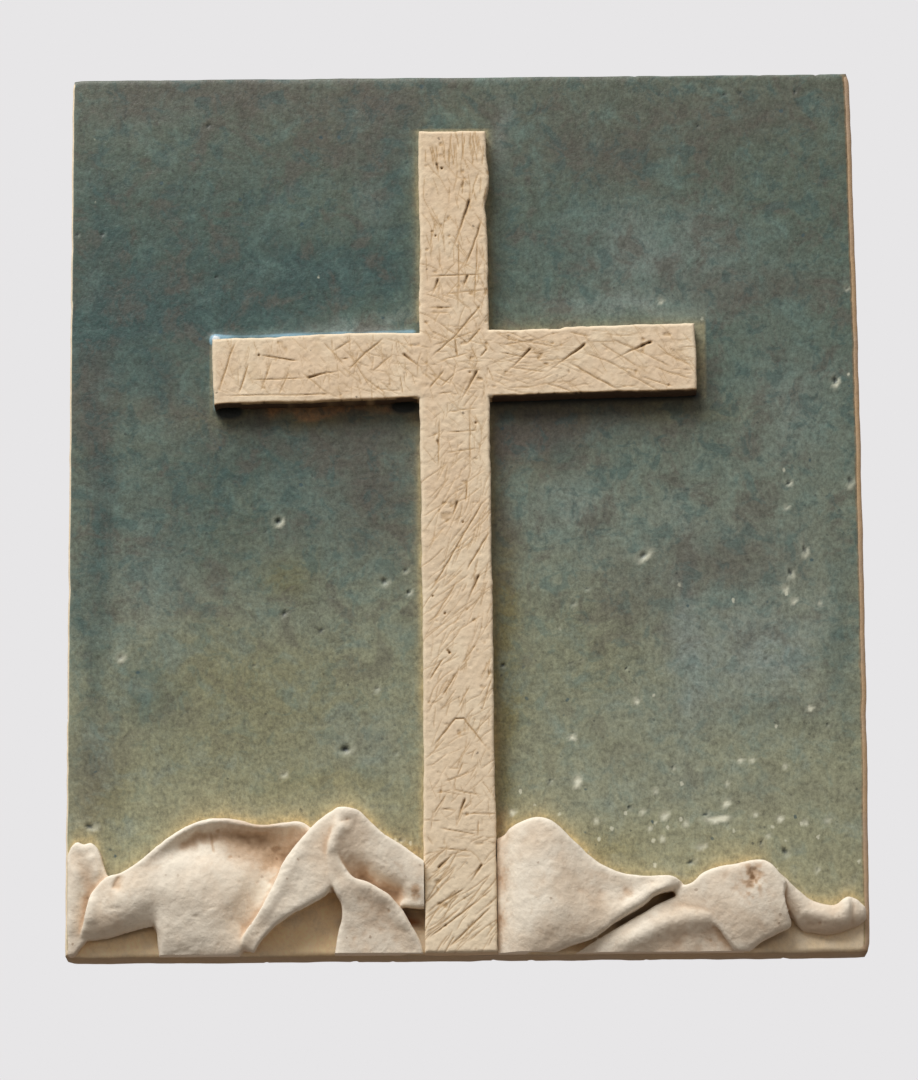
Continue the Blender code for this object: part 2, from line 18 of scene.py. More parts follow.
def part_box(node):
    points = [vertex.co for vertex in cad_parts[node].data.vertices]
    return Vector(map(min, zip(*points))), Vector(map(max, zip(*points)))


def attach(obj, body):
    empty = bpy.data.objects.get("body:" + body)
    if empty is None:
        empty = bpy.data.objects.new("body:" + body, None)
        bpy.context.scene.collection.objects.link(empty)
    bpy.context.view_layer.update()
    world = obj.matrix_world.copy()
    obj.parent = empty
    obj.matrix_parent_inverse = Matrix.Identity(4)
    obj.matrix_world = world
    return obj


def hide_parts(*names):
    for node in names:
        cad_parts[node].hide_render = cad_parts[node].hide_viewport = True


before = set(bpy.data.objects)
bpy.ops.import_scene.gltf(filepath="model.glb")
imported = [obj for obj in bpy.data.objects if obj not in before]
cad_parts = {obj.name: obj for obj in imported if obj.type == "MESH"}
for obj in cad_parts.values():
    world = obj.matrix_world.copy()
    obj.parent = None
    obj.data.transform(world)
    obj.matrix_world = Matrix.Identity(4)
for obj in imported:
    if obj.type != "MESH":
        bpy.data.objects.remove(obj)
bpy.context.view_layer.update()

log = logging.getLogger("plaque")

Path = Sequence[tuple[float, float]]
Edge = Sequence[tuple[float, float, float]]
Colour = tuple[float, float, float]

ROOT = "root"


class Tint(Enum):
    """What the glaze has broken to in a soft patch."""

    TEAL = "teal"
    UMBER = "umber"
    OLIVE = "olive"
    MIST = "mist"
    RUST = "rust"


class Mark(Enum):
    """How a tool or a bubble has marked the clay."""

    NEEDLE = "needle"
    GOUGE = "gouge"
    PRICK = "prick"


# Sizes, in metres


@dataclass(frozen=True)
class PlaqueSizes:
    """The plaque's sizes, taken from the frame where it gives them."""

    left: float
    right: float
    bottom: float
    top: float
    face: float
    seat: float
    cross_face: float
    corner_radius: float = 0.0012
    roll_left: float = 0.0008
    roll_right: float = 0.0018
    roll_top: float = 0.0008
    roll_bottom: float = 0.0014
    roll_depth: float = 0.0013
    side_bow: float = 0.0008
    beam_width: float = 0.0178
    beam_length: float = 0.2134
    beam_lean: float = math.radians(0.27)
    foot_offset: float = -0.0018
    foot_spread: float = 1.02
    top_narrowing: float = 0.96
    arm_length: float = 0.1235
    arm_depth: float = 0.0177
    arm_rise: float = 0.1512
    arm_tilt: float = math.radians(1.35)
    arm_hollows: tuple[float, ...] = (-0.470, -0.108)
    sheet: float = 0.0028
    relief: float = 0.0120
    rise_left: float = 0.0360
    rise_right: float = 0.0340
    least_height: float = 0.0012

    @classmethod
    def from_frame(cls) -> "PlaqueSizes":
        """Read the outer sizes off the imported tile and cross."""
        tile_low, tile_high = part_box("tile")
        cross_low, cross_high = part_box("cross")
        return cls(
            left=tile_low.x,
            right=tile_high.x,
            bottom=tile_low.z,
            top=tile_high.z,
            face=tile_low.y,
            seat=cross_high.y,
            cross_face=cross_low.y,
        )

    def beam_point(self, along: np.ndarray, across: np.ndarray) -> tuple[np.ndarray, np.ndarray]:
        """A point of the upright, turned by its lean about its foot.

        Args:
            along: distance from the foot.
            across: distance from the middle line, to the right.

        Returns:
            Its x and z.
        """
        lean = self.beam_lean
        x = self.foot_offset + across * math.cos(lean) - along * math.sin(lean)
        z = self.bottom + along * math.cos(lean) + across * math.sin(lean)
        return x, z

    def arm_point(self, along: np.ndarray, across: np.ndarray) -> tuple[np.ndarray, np.ndarray]:
        """A point of the crossbar, turned by its tilt about the crossing.

        Args:
            along: distance from the crossing's middle, to the right.
            across: distance from the bar's middle line, upwards.

        Returns:
            Its x and z.
        """
        mid_x, mid_z = self.beam_point(self.arm_rise, 0.0)
        x = mid_x + along * math.cos(self.arm_tilt) - across * math.sin(self.arm_tilt)
        z = mid_z + along * math.sin(self.arm_tilt) + across * math.cos(self.arm_tilt)
        return x, z

    def underside(self, *shares: float) -> np.ndarray:
        """Points on the crossbar's lower edge, at shares of its length from the crossing, as (x, z)."""
        return np.array([self.arm_point(share * self.arm_length, -self.arm_depth / 2) for share in shares])


@dataclass(frozen=True)
class PhotoCamera:
    """The photograph's pinhole camera, in front of the tile's face and a little below it."""

    aim: Vector = Vector((-0.0017, -0.0120, -0.0084))
    azimuth: float = math.radians(0.29)
    elevation: float = math.radians(-12.0)
    roll: float = math.radians(-0.41)
    distance: float = 1.3
    focal_px: float = 5097.0
    width_px: int = 918
    height_px: int = 1080
    sensor_mm: float = 36.0

    def axes(self) -> tuple[Vector, Vector, Vector]:
        """The camera's right, up and back directions."""
        back = Vector((
            math.sin(self.azimuth) * math.cos(self.elevation),
            -math.cos(self.azimuth) * math.cos(self.elevation),
            math.sin(self.elevation),
        ))
        right = (-back).cross(Vector((0.0, 0.0, 1.0))).normalized()
        up = right.cross(-back)
        turned_right = math.cos(self.roll) * right + math.sin(self.roll) * up
        turned_up = math.cos(self.roll) * up - math.sin(self.roll) * right
        return turned_right, turned_up, back

    def on_plane(self, pixels: Sequence[Sequence[float]], y: float) -> np.ndarray:
        """Where the rays through photo pixels meet the upright plane at depth y.

        Args:
            pixels: (x, y) pairs in the 918 by 1080 photograph.
            y: depth of the plane.

        Returns:
            An array of (x, z) pairs.
        """
        right, up, back = (np.array(axis) for axis in self.axes())
        place = np.array(self.aim) + back * self.distance
        px = np.asarray(pixels, dtype=float)
        across = (px[:, :1] - self.width_px / 2) / self.focal_px
        down = (px[:, 1:2] - self.height_px / 2) / self.focal_px
        ray = -back + across * right - down * up
        hit = place + ray * ((y - place[1]) / ray[:, 1])[:, None]
        return hit[:, [0, 2]]

    def build(self) -> bpy.types.Object:
        """Make the Blender camera and set it as the scene's."""
        data = bpy.data.cameras.new("photo_camera")
        data.sensor_width = self.sensor_mm
        data.lens = self.focal_px / self.height_px * self.sensor_mm
        data.clip_start = 0.01
        data.clip_end = 50.0
        camera = bpy.data.objects.new("photo_camera", data)
        right, up, back = self.axes()
        placed = Matrix((right, up, back)).transposed().to_4x4()
        placed.translation = self.aim + back * self.distance
        camera.matrix_world = placed
        bpy.context.scene.collection.objects.link(camera)
        bpy.context.scene.camera = camera
        return camera


# Numbers over a surface


def cell_value(ix: np.ndarray, iy: np.ndarray, iz: np.ndarray, seed: int) -> np.ndarray:
    """A repeatable number from -1 to 1 for each whole-numbered cell corner, by mixing its bits."""
    mixed = ix * 374761393 + iy * 668265263 + iz * 1442695041 + seed * 1013904223
    mixed = (mixed ^ (mixed >> 13)) * 1274126177
    mixed = mixed ^ (mixed >> 16)
    return (mixed & 0xFFFF) / 32767.5 - 1.0


def value_noise(points: np.ndarray, size: float, seed: int) -> np.ndarray:
    """Smooth noise: corner values of a cubic lattice, blended by 3t^2 - 2t^3 along each axis.

    Args:
        points: places as rows of x, y and z.
        size: edge of a lattice cell.
        seed: which pattern.

    Returns:
        A value from -1 to 1 for each point.
    """
    scaled = points / size
    corner = np.floor(scaled).astype(np.int64)
    t = scaled - corner
    t = t * t * (3.0 - 2.0 * t)
    total = np.zeros(len(points))
    for dx in (0, 1):
        for dy in (0, 1):
            for dz in (0, 1):
                weight = (
                    (t[:, 0] if dx else 1.0 - t[:, 0])
                    * (t[:, 1] if dy else 1.0 - t[:, 1])
                    * (t[:, 2] if dz else 1.0 - t[:, 2])
                )
                total += weight * cell_value(corner[:, 0] + dx, corner[:, 1] + dy, corner[:, 2] + dz, seed)
    return total


def layered_noise(points: np.ndarray, size: float, layers: int, seed: int) -> np.ndarray:
    """Sum of noises, each half the size and half the height of the one before."""
    total = np.zeros(len(points))
    for layer in range(layers):
        total += value_noise(points, size / 2 ** layer, seed + layer) / 2 ** layer
    return total / (2.0 - 0.5 ** (layers - 1))


def grain(points: np.ndarray, seed: int, *noises: tuple[float, float, int, int]) -> np.ndarray:
    """Sum of layered noises, each given as its height, size, layers and own step of the seed."""
    return sum(
        height * layered_noise(points, size, layers, seed + step) for height, size, layers, step in noises
    )


def flat_rows(x: np.ndarray, z: np.ndarray) -> np.ndarray:
    """Places seen from the front as rows of x, 0 and z, for the noises."""
    return np.stack((x, np.zeros_like(x), z), axis=-1)


def smooth_step(value: np.ndarray, low: float, high: float) -> np.ndarray:
    """0 below low, 1 above high, and an S curve between them."""
    t = np.clip((value - low) / (high - low), 0.0, 1.0)
    return t * t * (3.0 - 2.0 * t)


def distance_to_path(x: np.ndarray, z: np.ndarray, path: np.ndarray) -> tuple[np.ndarray, np.ndarray]:
    """Distance from a path of straight runs, and how far along it the nearest point lies.

    Args:
        x: first coordinate of the places.
        z: second coordinate of the places.
        path: the path's corners as rows of x and z.

    Returns:
        The distance, and the share of the path's length from its start.
    """
    nearest = np.full(x.shape, np.inf)
    share_along = np.zeros(x.shape)
    runs = np.hypot(*np.diff(path, axis=0).T)
    before = np.concatenate(([0.0], np.cumsum(runs)))
    for start, end, length, passed in zip(path, path[1:], runs, before):
        run_x, run_z = end - start
        t = np.clip(((x - start[0]) * run_x + (z - start[1]) * run_z) / length ** 2, 0.0, 1.0)
        away = np.hypot(x - start[0] - t * run_x, z - start[1] - t * run_z)
        closer = away < nearest
        nearest = np.where(closer, away, nearest)
        share_along = np.where(closer, (passed + t * length) / before[-1], share_along)
    return nearest, share_along


def smooth_curve(points: np.ndarray, shares: np.ndarray) -> np.ndarray:
    """Points on a Catmull-Rom curve through the given ones, at shares of its chord length."""
    steps = np.linalg.norm(np.diff(points, axis=0), axis=1)
    position = np.concatenate(([0.0], np.cumsum(steps)))
    place = shares * position[-1]
    first = np.clip(np.searchsorted(position, place, side="right") - 1, 0, len(steps) - 1)
    t = ((place - position[first]) / steps[first])[:, None]
    padded = np.vstack((2 * points[0] - points[1], points, 2 * points[-1] - points[-2]))
    p0, p1, p2, p3 = padded[first], padded[first + 1], padded[first + 2], padded[first + 3]
    cubic = 2 * p1 + (p2 - p0) * t + (2 * p0 - 5 * p1 + 4 * p2 - p3) * t ** 2
    return (cubic + (3 * p1 - p0 - 3 * p2 + p3) * t ** 3) / 2


def spaced(steps: int, rim: Sequence[float]) -> np.ndarray:
    """Shares from 0 to 1, with narrow steps at both ends.

    Args:
        steps: how many even steps lie between the narrow ones.
        rim: shares of the narrow lines from the end, from the outside in.

    Returns:
        The shares in rising order.
    """
    inner = np.linspace(rim[-1], 1 - rim[-1], steps + 1)
    start = np.concatenate(([0.0], rim[:-1]))
    return np.concatenate((start, inner, 1 - start[::-1]))


# Meshes


def mesh_piece(name: str, places: np.ndarray, faces: list) -> bpy.types.Object:
    """Make one mesh object at the origin.

    Args:
        name: the piece's name.
        places: vertex places as rows.
        faces: vertex numbers of each face, anticlockwise as seen from outside.

    Returns:
        The new object, linked to the scene and shaded smooth.
    """
    mesh = bpy.data.meshes.new(name)
    mesh.from_pydata(places.tolist(), [], faces)
    mesh.update()
    mesh.shade_smooth()
    piece = bpy.data.objects.new(name, mesh)
    bpy.context.scene.collection.objects.link(piece)
    return piece


def grid_faces(ids: np.ndarray) -> np.ndarray:
    """Four-cornered faces between the vertices of a grid, outward where x rises by row and z by column."""
    quads = np.stack((ids[:-1, :-1], ids[1:, :-1], ids[1:, 1:], ids[:-1, 1:]), axis=-1)
    return quads.reshape(-1, 4)


def ring_faces(front: np.ndarray, back: np.ndarray) -> np.ndarray:
    """Faces between two closed rings of vertex numbers, the second one further from the viewer."""
    ahead_front, ahead_back = np.roll(front, -1), np.roll(back, -1)
    return np.stack((ahead_front, front, back, ahead_back), axis=-1)


def ringed_slab(
    name: str, places: np.ndarray, front: np.ndarray, border: np.ndarray, levels: int
) -> bpy.types.Object:
    """Close a front grid with walls, level by level, and one flat back face.

    Args:
        name: the piece's name.
        places: the front's vertices, and behind them each level's ring of them in turn.
        front: the front's faces.
        border: the front's outline as vertex numbers, anticlockwise.
        levels: how many rings follow the front.

    Returns:
        The piece.
    """
    size = len(border)
    start = len(places) - levels * size
    rings = [border] + [np.arange(start + n * size, start + (n + 1) * size) for n in range(levels)]
    walls = np.vstack([ring_faces(ahead, behind) for ahead, behind in zip(rings, rings[1:])])
    return mesh_piece(name, places, front.tolist() + walls.tolist() + [rings[-1][::-1].tolist()])


def write_attribute(piece: bpy.types.Object, name: str, values: np.ndarray) -> None:
    """Keep one number for each vertex, for the piece's finish to read."""
    attribute = piece.data.attributes.new(name, "FLOAT", "POINT")
    attribute.data.foreach_set("value", np.ascontiguousarray(values, dtype=np.float32))


def vertex_places(mesh: bpy.types.Mesh) -> np.ndarray:
    """All vertex places of a mesh, as rows."""
    flat = np.empty(len(mesh.vertices) * 3, dtype=np.float32)
    mesh.vertices.foreach_get("co", flat)
    return flat.reshape(-1, 3).astype(float)


def vertex_normals(mesh: bpy.types.Mesh) -> np.ndarray:
    """All vertex normals of a mesh, as rows."""
    flat = np.empty(len(mesh.vertices) * 3, dtype=np.float32)
    mesh.vertices.foreach_get("normal", flat)
    return flat.reshape(-1, 3).astype(float)


def settled(mesh: bpy.types.Mesh, places: np.ndarray, rounds: int) -> np.ndarray:
    """Places after each vertex has moved, round by round, to the mean of its neighbours and itself."""
    pairs = np.empty(len(mesh.edges) * 2, dtype=np.int32)
    mesh.edges.foreach_get("vertices", pairs)
    first, second = pairs.reshape(-1, 2).T
    count = np.bincount(first, minlength=len(places)) + np.bincount(second, minlength=len(places)) + 1.0
    for _ in range(rounds):
        total = places.copy()
        for axis in range(places.shape[1]):
            total[:, axis] += np.bincount(first, weights=places[second, axis], minlength=len(places))
            total[:, axis] += np.bincount(second, weights=places[first, axis], minlength=len(places))
        places = total / count[:, None]
    return places


# Shader maths


class Bench:
    """One material's node tree, with one method for every kind of node."""

    def __init__(self, name: str) -> None:
        """Start a material with a Principled shader wired to its output."""
        self.material = bpy.data.materials.new(name)
        self.material.use_nodes = True
        self.tree = self.material.node_tree
        self.shader = self.tree.nodes["Principled BSDF"]

    @classmethod
    def for_world(cls, world: bpy.types.World) -> "Bench":
        """A bench for a world's nodes."""
        bench = cls.__new__(cls)
        bench.tree = world.node_tree
        return bench

    def node(self, kind: str, settings: dict[str, Any], inputs: dict[Any, Any]) -> bpy.types.Node:
        """Add a node.

        Args:
            kind: the node's type.
            settings: properties that are set first, and "stops" for a ramp's (place, colour) pairs.
            inputs: socket name or number to a value or a Channel.

        Returns:
            The node.
        """
        made = self.tree.nodes.new(kind)
        for key, value in settings.items():
            if key == "stops":
                self._fill_ramp(made, value)
            else:
                setattr(made, key, value)
        for key, value in inputs.items():
            if isinstance(value, Channel):
                self.tree.links.new(value.socket, made.inputs[key])
            else:
                made.inputs[key].default_value = value
        return made

    @staticmethod
    def _fill_ramp(ramp: bpy.types.Node, stops: Sequence[tuple[float, Colour]]) -> None:
        """Set a colour ramp's stops from (place, colour) pairs."""
        elements = ramp.color_ramp.elements
        while len(elements) < len(stops):
            elements.new(0.5)
        for element, (place, colour) in zip(elements, stops):
            element.position = place
            element.color = (*colour, 1.0)

    def ramp(self, value: "Channel", stops: Sequence[tuple[float, Colour]]) -> "Channel":
        """A colour that runs through the stops as the value goes from 0 to 1."""
        return Channel(self, self.node("ShaderNodeValToRGB", {"stops": stops}, {0: value}).outputs[0])

    def place(self, scale: Colour = (1.0, 1.0, 1.0)) -> "Channel":
        """Object coordinates, stretched by a scale on each axis."""
        coordinates = self.node("ShaderNodeTexCoord", {}, {})
        here = Channel(self, coordinates.outputs["Object"])
        mapping = self.node("ShaderNodeMapping", {}, {"Vector": here, "Scale": scale})
        return Channel(self, mapping.outputs[0])

    def axis(self, name: str) -> "Channel":
        """One of the object coordinates X, Y or Z."""
        split = self.node("ShaderNodeSeparateXYZ", {}, {0: self.place()})
        return Channel(self, split.outputs[name])

    def attribute(self, name: str) -> "Channel":
        """A number kept on the vertices."""
        return Channel(self, self.node("ShaderNodeAttribute", {"attribute_name": name}, {}).outputs["Fac"])

    def noise(
        self, size: float, detail: float = 3.0, rough: float = 0.55, stretch: Colour = (1, 1, 1),
        swirl: float = 0.0,
    ) -> "Channel":
        """Noise from 0 to 1 whose blotches are about one size across, in metres."""
        settings = {
            "Vector": self.place(stretch), "Scale": 1.0 / size, "Detail": detail, "Roughness": rough,
            "Distortion": swirl,
        }
        return Channel(self, self.node("ShaderNodeTexNoise", {}, settings).outputs["Fac"])

    def specks(self, size: float, share: float, density: Any, stretch: Colour = (1, 1, 1)) -> "Channel":
        """Uneven specks, at most one to a cell.

        Args:
            size: the cell's size in metres.
            share: the speck's radius as a share of the cell.
            density: the share of cells that hold a speck, a number or a Channel.
            stretch: how the cells are stretched.

        Returns:
            1 inside a speck and 0 outside.
        """
        cells = self.node(
            "ShaderNodeTexVoronoi", {"feature": "F1"}, {"Vector": self.place(stretch), "Scale": 1.0 / size}
        )
        away = Channel(self, cells.outputs["Distance"]) + 0.22 * (self.noise(size * 0.25, 1.0) - 0.5)
        pick = self.node("ShaderNodeSeparateColor", {}, {0: Channel(self, cells.outputs["Color"])})
        chosen = self.step(Channel(self, pick.outputs[0]) + density, 0.99, 1.01)
        return self.step(away, share, share * 0.5) * chosen * (0.35 + 0.65 * Channel(self, pick.outputs[1]))

    def step(self, value: "Channel", low: float, high: float) -> "Channel":
        """An S curve from 0 at low to 1 at high, either way round."""
        made = self.node(
            "ShaderNodeMapRange",
            {"interpolation_type": "SMOOTHSTEP"},
            {"Value": value, "From Min": low, "From Max": high, "To Min": 0.0, "To Max": 1.0},
        )
        return Channel(self, made.outputs[0])

    def mix(self, share: "Channel", first: Any, second: Any) -> "Channel":
        """A colour between two, by a share."""
        made = self.node("ShaderNodeMix", {"data_type": "RGBA"}, {0: share})
        for index, value in ((6, first), (7, second)):
            if isinstance(value, Channel):
                self.tree.links.new(value.socket, made.inputs[index])
            else:
                made.inputs[index].default_value = (*value, 1.0)
        return Channel(self, made.outputs[2])

    def shade(self, colour: "Channel", factor: "Channel") -> "Channel":
        """A colour made lighter or darker by a factor."""
        made = self.node("ShaderNodeVectorMath", {"operation": "SCALE"}, {0: colour, "Scale": factor})
        return Channel(self, made.outputs[0])

    def bump(self, height: "Channel", distance: float, strength: float = 1.0) -> "Channel":
        """A normal tipped by a height field whose 1 is a distance in metres."""
        made = self.node(
            "ShaderNodeBump", {}, {"Height": height, "Distance": distance, "Strength": strength}
        )
        return Channel(self, made.outputs[0])

    def finish(self, colour: "Channel", roughness: "Channel", normal: "Channel") -> bpy.types.Material:
        """Wire what varies to the shader and hand over the material."""
        for name, value in (("Base Color", colour), ("Roughness", roughness), ("Normal", normal)):
            self.tree.links.new(value.socket, self.shader.inputs[name])
        return self.material


@dataclass(frozen=True)
class Channel:
    """A shader socket that can stand in Python sums, each of which adds a Math node."""

    bench: Bench
    socket: Any

    def _sum(self, operation: str, first: Any, second: Any) -> "Channel":
        """Add a Math node."""
        made = self.bench.node("ShaderNodeMath", {"operation": operation}, {0: first, 1: second})
        return Channel(self.bench, made.outputs[0])

    def __add__(self, other: Any) -> "Channel":
        """self + other."""
        return self._sum("ADD", self, other)

    def __radd__(self, other: Any) -> "Channel":
        """other + self."""
        return self._sum("ADD", other, self)

    def __sub__(self, other: Any) -> "Channel":
        """self - other."""
        return self._sum("SUBTRACT", self, other)

    def __rsub__(self, other: Any) -> "Channel":
        """other - self."""
        return self._sum("SUBTRACT", other, self)

    def __mul__(self, other: Any) -> "Channel":
        """self * other."""
        return self._sum("MULTIPLY", self, other)

    def __rmul__(self, other: Any) -> "Channel":
        """other * self."""
        return self._sum("MULTIPLY", other, self)

    def clipped(self) -> "Channel":
        """self held between 0 and 1."""
        made = self.bench.node("ShaderNodeClamp", {}, {0: self})
        return Channel(self.bench, made.outputs[0])


# Finishes


@dataclass(frozen=True)
class BisqueFinish:
    """Unglazed fired clay: pale skin, warm colour and painted shade in the hollows, a painted highlight on
    ridges, fine grit and a dry surface.
    """

    name: str
    skin: Colour
    pale: Colour
    warm: Colour
    deep: Colour
    grit_height: float = 0.00016
    cloudiness: float = 1.0
    roughness: float = 0.88

    def build(self) -> bpy.types.Material:
        """Make the material. It reads painted shade with stains, strongest deep in hollows, scratches and
        low places, which turns the clay warm and then deep brown, and "ridge", how far a place stands out,
        which paints a pale highlight on it."""
        bench = Bench(self.name)
        shade_and_stain = bench.attribute("shade_and_stain")
        ridge = bench.attribute("ridge")
        cloud = bench.noise(0.012, 3.0)
        mottle = bench.noise(0.0036, 3.0, 0.62, swirl=0.6)
        grain = bench.noise(0.0009, 3.0, 0.7)
        colour = bench.mix(bench.step(cloud, 0.40, 0.66) * self.cloudiness, self.skin, self.pale)
        colour = bench.mix((bench.step(mottle, 0.50, 0.76) * 0.34).clipped(), colour, self.warm)
        # Painted highlight on ridges and arrises, then painted shade, warm and then near black, in hollows,
        # scratches, low places and under the crossbar, along with real stains.
        colour = bench.mix((ridge * 0.8).clipped(), colour, self.pale)
        colour = bench.mix(bench.step(shade_and_stain, 0.0, 0.9), colour, self.warm)
        colour = bench.mix(bench.step(shade_and_stain, 0.7, 1.7), colour, self.deep)
        specks = bench.specks(0.0030, 0.16, 0.22)
        colour = bench.mix(specks * 0.6, colour, self.deep)
        colour = bench.shade(colour, 0.88 + 0.24 * grain)
        rough = self.roughness + 0.10 * (mottle - 0.5)
        height = grain * 0.6 + bench.noise(0.0021, 2.0, 0.6) * 0.9
        return bench.finish(colour, rough, bench.bump(height, self.grit_height))


@dataclass(frozen=True)
class GlazeFinish:
    """A satin blue-green glaze on clay, thin and blotchy, rubbed through to the clay at the tile's edges."""

    name: str = "blue_green_glaze"
    from_foot: tuple[tuple[float, Colour], ...] = (
        (0.00, (0.330, 0.325, 0.205)),
        (0.20, (0.284, 0.292, 0.190)),
        (0.32, (0.236, 0.252, 0.170)),
        (0.43, (0.188, 0.214, 0.156)),
        (0.54, (0.138, 0.170, 0.129)),
        (0.66, (0.096, 0.134, 0.104)),
        (0.80, (0.080, 0.114, 0.086)),
        (1.00, (0.104, 0.122, 0.090)),
    )
    tints: tuple[tuple[Tint, Colour, float], ...] = (
        (Tint.MIST, (0.225, 0.272, 0.256), 0.75),
        (Tint.OLIVE, (0.215, 0.195, 0.085), 0.80),
        (Tint.UMBER, (0.092, 0.082, 0.066), 0.85),
        (Tint.TEAL, (0.032, 0.072, 0.068), 0.85),
        (Tint.RUST, (0.360, 0.200, 0.085), 0.90),
    )
    cool_grey: Colour = (0.275, 0.315, 0.265)
    cool_green: Colour = (0.110, 0.185, 0.165)
    low_teal: Colour = (0.130, 0.200, 0.175)
    ochre: Colour = (0.50, 0.40, 0.20)
    milk: Colour = (0.80, 0.80, 0.64)
    # Ink is the colour of the dark specks and of the painted shade on the glaze.
    ink_and_shade: Colour = (0.014, 0.022, 0.022)
    blue_ink: Colour = (0.030, 0.075, 0.095)
    clay: Colour = (1.0, 0.78, 0.48)
    pale_clay: Colour = (0.88, 0.75, 0.56)
    # Colour of the painted shade on bare clay.
    painted_clay_shade: Colour = (0.17, 0.090, 0.042)
    rusty_clay: Colour = (0.32, 0.14, 0.06)
    bead_blue: Colour = (0.22, 0.40, 0.52)
    bead_white: Colour = (0.70, 0.76, 0.80)
    roughness: float = 0.46

    def tint_colour(self, tint: Tint) -> Colour:
        """The colour of one tint."""
        return next(colour for name, colour, _ in self.tints if name is tint)

    def build(self) -> bpy.types.Material:
        """Make the material. It reads the tints, "bare", "halo", "pale", "dark", "bead" and "fleck"."""
        bench = Bench(self.name)
        z = bench.axis("Z")
        drift = bench.noise(0.020, 4.0, 0.62)
        patches = bench.noise(0.0100, 5.0, 0.68, swirl=0.5)
        mottle = bench.noise(0.0054, 4.0, 0.66, swirl=0.6)
        blots = bench.noise(0.0026, 3.0, 0.66)
        fine = bench.noise(0.0010, 3.0, 0.72, (1.0, 1.0, 0.8))

        height_share = (z + 0.115) * 4.35 + 0.14 * (drift - 0.5) + 0.10 * (mottle - 0.5)
        colour = bench.ramp(height_share.clipped(), self.from_foot)
        for tint, tint_colour, strength in self.tints:
            amount = bench.attribute(tint.value) * strength * (0.20 + 1.6 * mottle)
            colour = bench.mix(amount.clipped(), colour, tint_colour)
        brown = bench.step(patches, 0.50, 0.36) * (0.18 + 0.40 * bench.step(z, -0.08, 0.0))
        colour = bench.mix(brown, colour, self.tint_colour(Tint.UMBER))
        high = bench.step(z, -0.12, 0.03)
        light = bench.mix(high, self.cool_grey, self.cool_green)
        colour = bench.mix(bench.step(patches, 0.48, 0.72) * 0.55, colour, light)
        teal = bench.step(mottle, 0.50, 0.64) * (0.16 + 0.44 * high)
        colour = bench.mix(teal, colour, bench.mix(high, self.low_teal, self.tint_colour(Tint.TEAL)))
        colour = bench.mix((bench.attribute("halo") * (0.40 + 1.2 * mottle)).clipped(), colour, self.ochre)
        colour = bench.shade(colour, 1.65 * fine + 0.90 * blots + 0.60 * mottle - 0.54)

        fleck = bench.attribute("fleck")
        pepper = bench.specks(0.0030, 0.15, 0.20 + 0.35 * fleck)
        blue_dots = bench.specks(0.0052, 0.12, 0.16 + 0.5 * fleck)
        salt = bench.specks(0.0034, 0.17, 0.01 + 0.62 * fleck, (1.0, 1.0, 0.75))
        colour = bench.mix(pepper * 0.50, colour, self.ink_and_shade)
        colour = bench.mix(blue_dots * 0.85, colour, self.blue_ink)
        colour = bench.mix(salt * 0.85, colour, self.milk)
        # Pale: pale clay at the pits' lips and the rubbed edges, with a painted highlight on the lit side of
        # each lip.
        colour = bench.mix(bench.attribute("pale").clipped(), colour, self.milk)
        # Painted shade, near black: below the crossbar, in its two hollows and in the pits.
        colour = bench.mix(bench.attribute("dark").clipped(), colour, self.ink_and_shade)
        bead = bench.attribute("bead")
        colour = bench.mix(bench.step(bead, 0.15, 0.6), colour, self.bead_blue)
        colour = bench.mix(bench.step(bead, 0.75, 1.15), colour, self.bead_white)

        clay = bench.mix(bench.step(drift, 0.35, 0.65), self.clay, self.pale_clay)
        clay = bench.mix(bench.attribute("pale").clipped(), clay, self.pale_clay)
        clay = bench.shade(clay, 0.64 + 0.40 * fine + 0.40 * blots)
        clay = bench.mix((bench.attribute(Tint.RUST.value) * 0.9).clipped(), clay, self.rusty_clay)
        # Painted shade on bare clay: under the folds' free edges and on the tile's underside.
        clay = bench.mix(bench.attribute("dark").clipped(), clay, self.painted_clay_shade)
        wear_and_edge_highlight = bench.step(bench.attribute("bare") + 0.55 * (mottle - 0.5), 0.38, 0.62)
        colour = bench.mix(wear_and_edge_highlight, colour, clay)

        rough = self.roughness + 0.16 * (mottle - 0.5) + 0.38 * wear_and_edge_highlight
        return bench.finish(colour, rough, bench.bump(fine * 0.6 + blots * 0.9, 0.00014))


@dataclass(frozen=True)
class PlainFinish:
    """A plain matt paint for the stage."""

    name: str
    colour: Colour

    def build(self) -> bpy.types.Material:
        """Make the material."""
        bench = Bench(self.name)
        bench.shader.inputs["Base Color"].default_value = (*self.colour, 1.0)
        bench.shader.inputs["Roughness"].default_value = 0.9
        return bench.material


# Clay sheets


@dataclass(frozen=True)
class Fold:
    """A ridge or a valley drawn on a sheet along a path of (run, rise) shares."""

    path: Path
    lift: float
    half_width: float


@dataclass(frozen=True)
class ClaySheet:
    """One sheet of clay ruled between two smooth edges, which are rows of (run, rise, relief) shares.

    Its second edge may be free: from where to where along it, and how far in, the back follows the
    face at the sheet's thickness. The more belly it has, the nearer to its second edge it turns down.
    """

    first: Edge
    second: Edge
    folds: tuple[Fold, ...] = ()
    free: tuple[float, float, float] = (0.0, 0.0, 0.0)
    belly: float = 1.0


